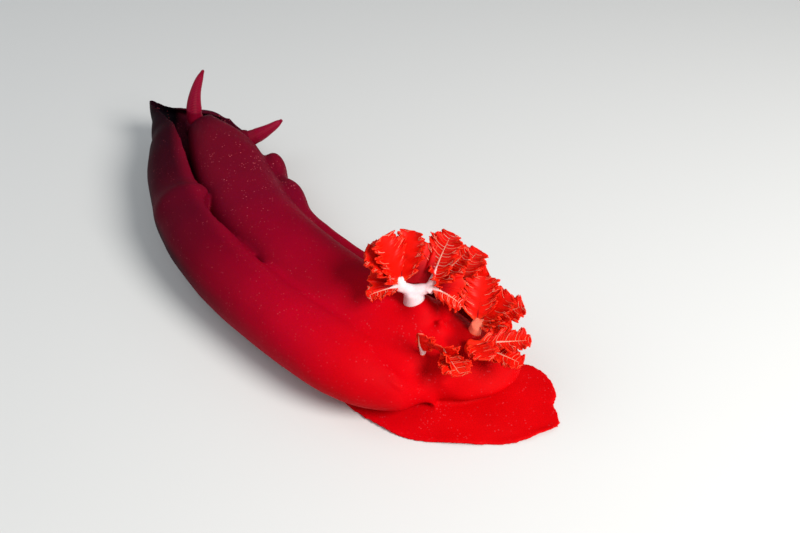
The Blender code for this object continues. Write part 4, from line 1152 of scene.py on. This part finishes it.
def skin_material():
    look = Look("flesh_skin")
    # Dark crimson at the head to bright red at the tail: partly the animal's own colour, partly painted
    # shade where the light falls off towards the head.
    base = look.ramp(look.value("rearward"), (0.0, 0.055, 0.002, 0.009), (0.08, 0.135, 0.002, 0.012),
                     (0.385, 0.165, 0.001, 0.013), (0.5, 0.235, 0.0, 0.012), (0.615, 0.31, 0.0, 0.012),
                     (0.73, 0.42, 0.0, 0.010), (0.827, 0.55, 0.0, 0.004), (1.0, 0.57, 0.0, 0.0015))
    # Painted shade: the per-point shade value darkens the colour, red most and green and blue less.
    dark = look.mix("MULTIPLY", look.value("painted_shade"), base, (0.0, 0.3, 0.25, 1.0))
    cloud = look.ramp(look.noise(38.0, Detail=4.0, Roughness=0.55), (0.3, 0.86, 0.9, 0.95), (0.7, 1.0))
    clouded = look.mix("MULTIPLY", 1.0, dark, cloud)
    cells = look.texture("ShaderNodeTexVoronoi", "Distance", 560.0)
    dot = look.ramp(cells, (0.12, 1.0), (0.25, 0.0))
    choice = look.ramp(look.noise(190.0, Detail=2.0), (0.50, 0.0), (0.62, 0.85))
    placed = look.mix("MULTIPLY", 1.0, choice, look.ramp(look.value("dots"), (0.0, 0.0), (1.0, 1.0)))
    dotted = look.mix("MIX", look.mix("MULTIPLY", 1.0, dot, placed), clouded, (0.62, 0.10, 0.13, 1.0))
    look.bump(look.noise(900.0, Detail=3.0, Roughness=0.6), 0.0002, 0.35)
    return look.flesh(dotted, 0.6, 0.03, 0.20, (1.0, 0.12, 0.10), 0.003)


def gill_material():
    look = Look("gill_membrane")
    base = look.ramp(look.value("pale"), (0.0, 0.26, 0.0, 0.004), (0.12, 0.55, 0.001, 0.002),
                     (0.24, 0.78, 0.006, 0.001), (0.40, 0.84, 0.045, 0.010), (0.7, 0.88, 0.30, 0.20),
                     (1.0, 0.84, 0.66, 0.68))
    cloud = look.ramp(look.noise(160.0, Detail=3.0), (0.3, 0.86, 0.82, 0.82), (0.6, 1.0))
    look.bump(look.noise(1400.0, Detail=2.0), 0.0001, 0.3)
    return look.flesh(look.mix("MULTIPLY", 1.0, base, cloud), 0.42, 0.10, 0.25, (1.0, 0.25, 0.18), 0.002)


def rhinophore_material():
    look = Look("rhinophore_folds")
    base = look.ramp(look.value("pale"), (0.0, 0.16, 0.001, 0.013), (0.3, 0.24, 0.002, 0.022),
                     (0.6, 0.32, 0.008, 0.04))
    look.bump(look.noise(900.0, Detail=2.0), 0.0001, 0.3)
    return look.flesh(base, 0.45, 0.08, 0.2, (1.0, 0.15, 0.15), 0.002)


# Stage


def build_floor():
    half = FLOOR_HALF
    mesh = bpy.data.meshes.new("floor")
    corners = [(-half, -half, 0), (half, -half, 0), (half, half, 0), (-half, half, 0)]
    mesh.from_pydata(corners, [], [(0, 1, 2, 3)])
    floor = bpy.data.objects.new("floor", mesh)
    bpy.context.scene.collection.objects.link(floor)
    look = Look("pale_floor")
    look.shader.inputs["Base Color"].default_value = (0.62, 0.62, 0.61, 1.0)
    look.shader.inputs["Roughness"].default_value = 0.9
    mesh.materials.append(look.material)


def area_light(name, place, aim, size, power, colour):
    data = bpy.data.lights.new(name, "AREA")
    data.shape = "DISK"
    data.size = size
    data.energy = power
    data.color = colour
    made = bpy.data.objects.new(name, data)
    made.location = place
    made.rotation_euler = (Vector(aim) - Vector(place)).to_track_quat("-Z", "Y").to_euler()
    bpy.context.scene.collection.objects.link(made)


def build_lights():
    area_light("key", (0.12, -0.85, 0.75), (0.0, -0.05, 0.02), 0.5, 16.0, (1.0, 0.98, 0.95))
    area_light("fill", (-0.6, 0.6, 1.0), (0.0, 0.0, 0.0), 1.2, 5.0, (0.92, 0.96, 1.0))
    world = bpy.data.worlds.new("studio")
    world.use_nodes = True
    world.node_tree.nodes["Background"].inputs["Color"].default_value = (0.9, 0.95, 1.0, 1.0)
    world.node_tree.nodes["Background"].inputs["Strength"].default_value = 0.35
    bpy.context.scene.world = world


def build_camera():
    data = bpy.data.cameras.new("camera")
    data.sensor_width = 36.0
    data.lens = data.sensor_width / 2 / math.tan(math.radians(CAMERA_FIELD) / 2)
    camera = bpy.data.objects.new("camera", data)
    camera.location = CAMERA_PLACE
    camera.rotation_euler = (Vector(CAMERA_AIM) - Vector(CAMERA_PLACE)).to_track_quat("-Z", "Y").to_euler()
    bpy.context.scene.collection.objects.link(camera)
    bpy.context.scene.camera = camera


def main():
    bpy.context.scene.view_settings.view_transform = "Standard"
    build_camera()
    skin = build_skin(skin_material())
    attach(skin, "root")
    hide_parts(*FLESH_PIECES)
    gill_look = gill_material()
    for name, gill in GILLS.items():
        build_gill(name, gill, gill_look)
    horn_look = rhinophore_material()
    for name in RHINOPHORES:
        build_rhinophore(name, horn_look)
    build_floor()
    build_lights()


main()
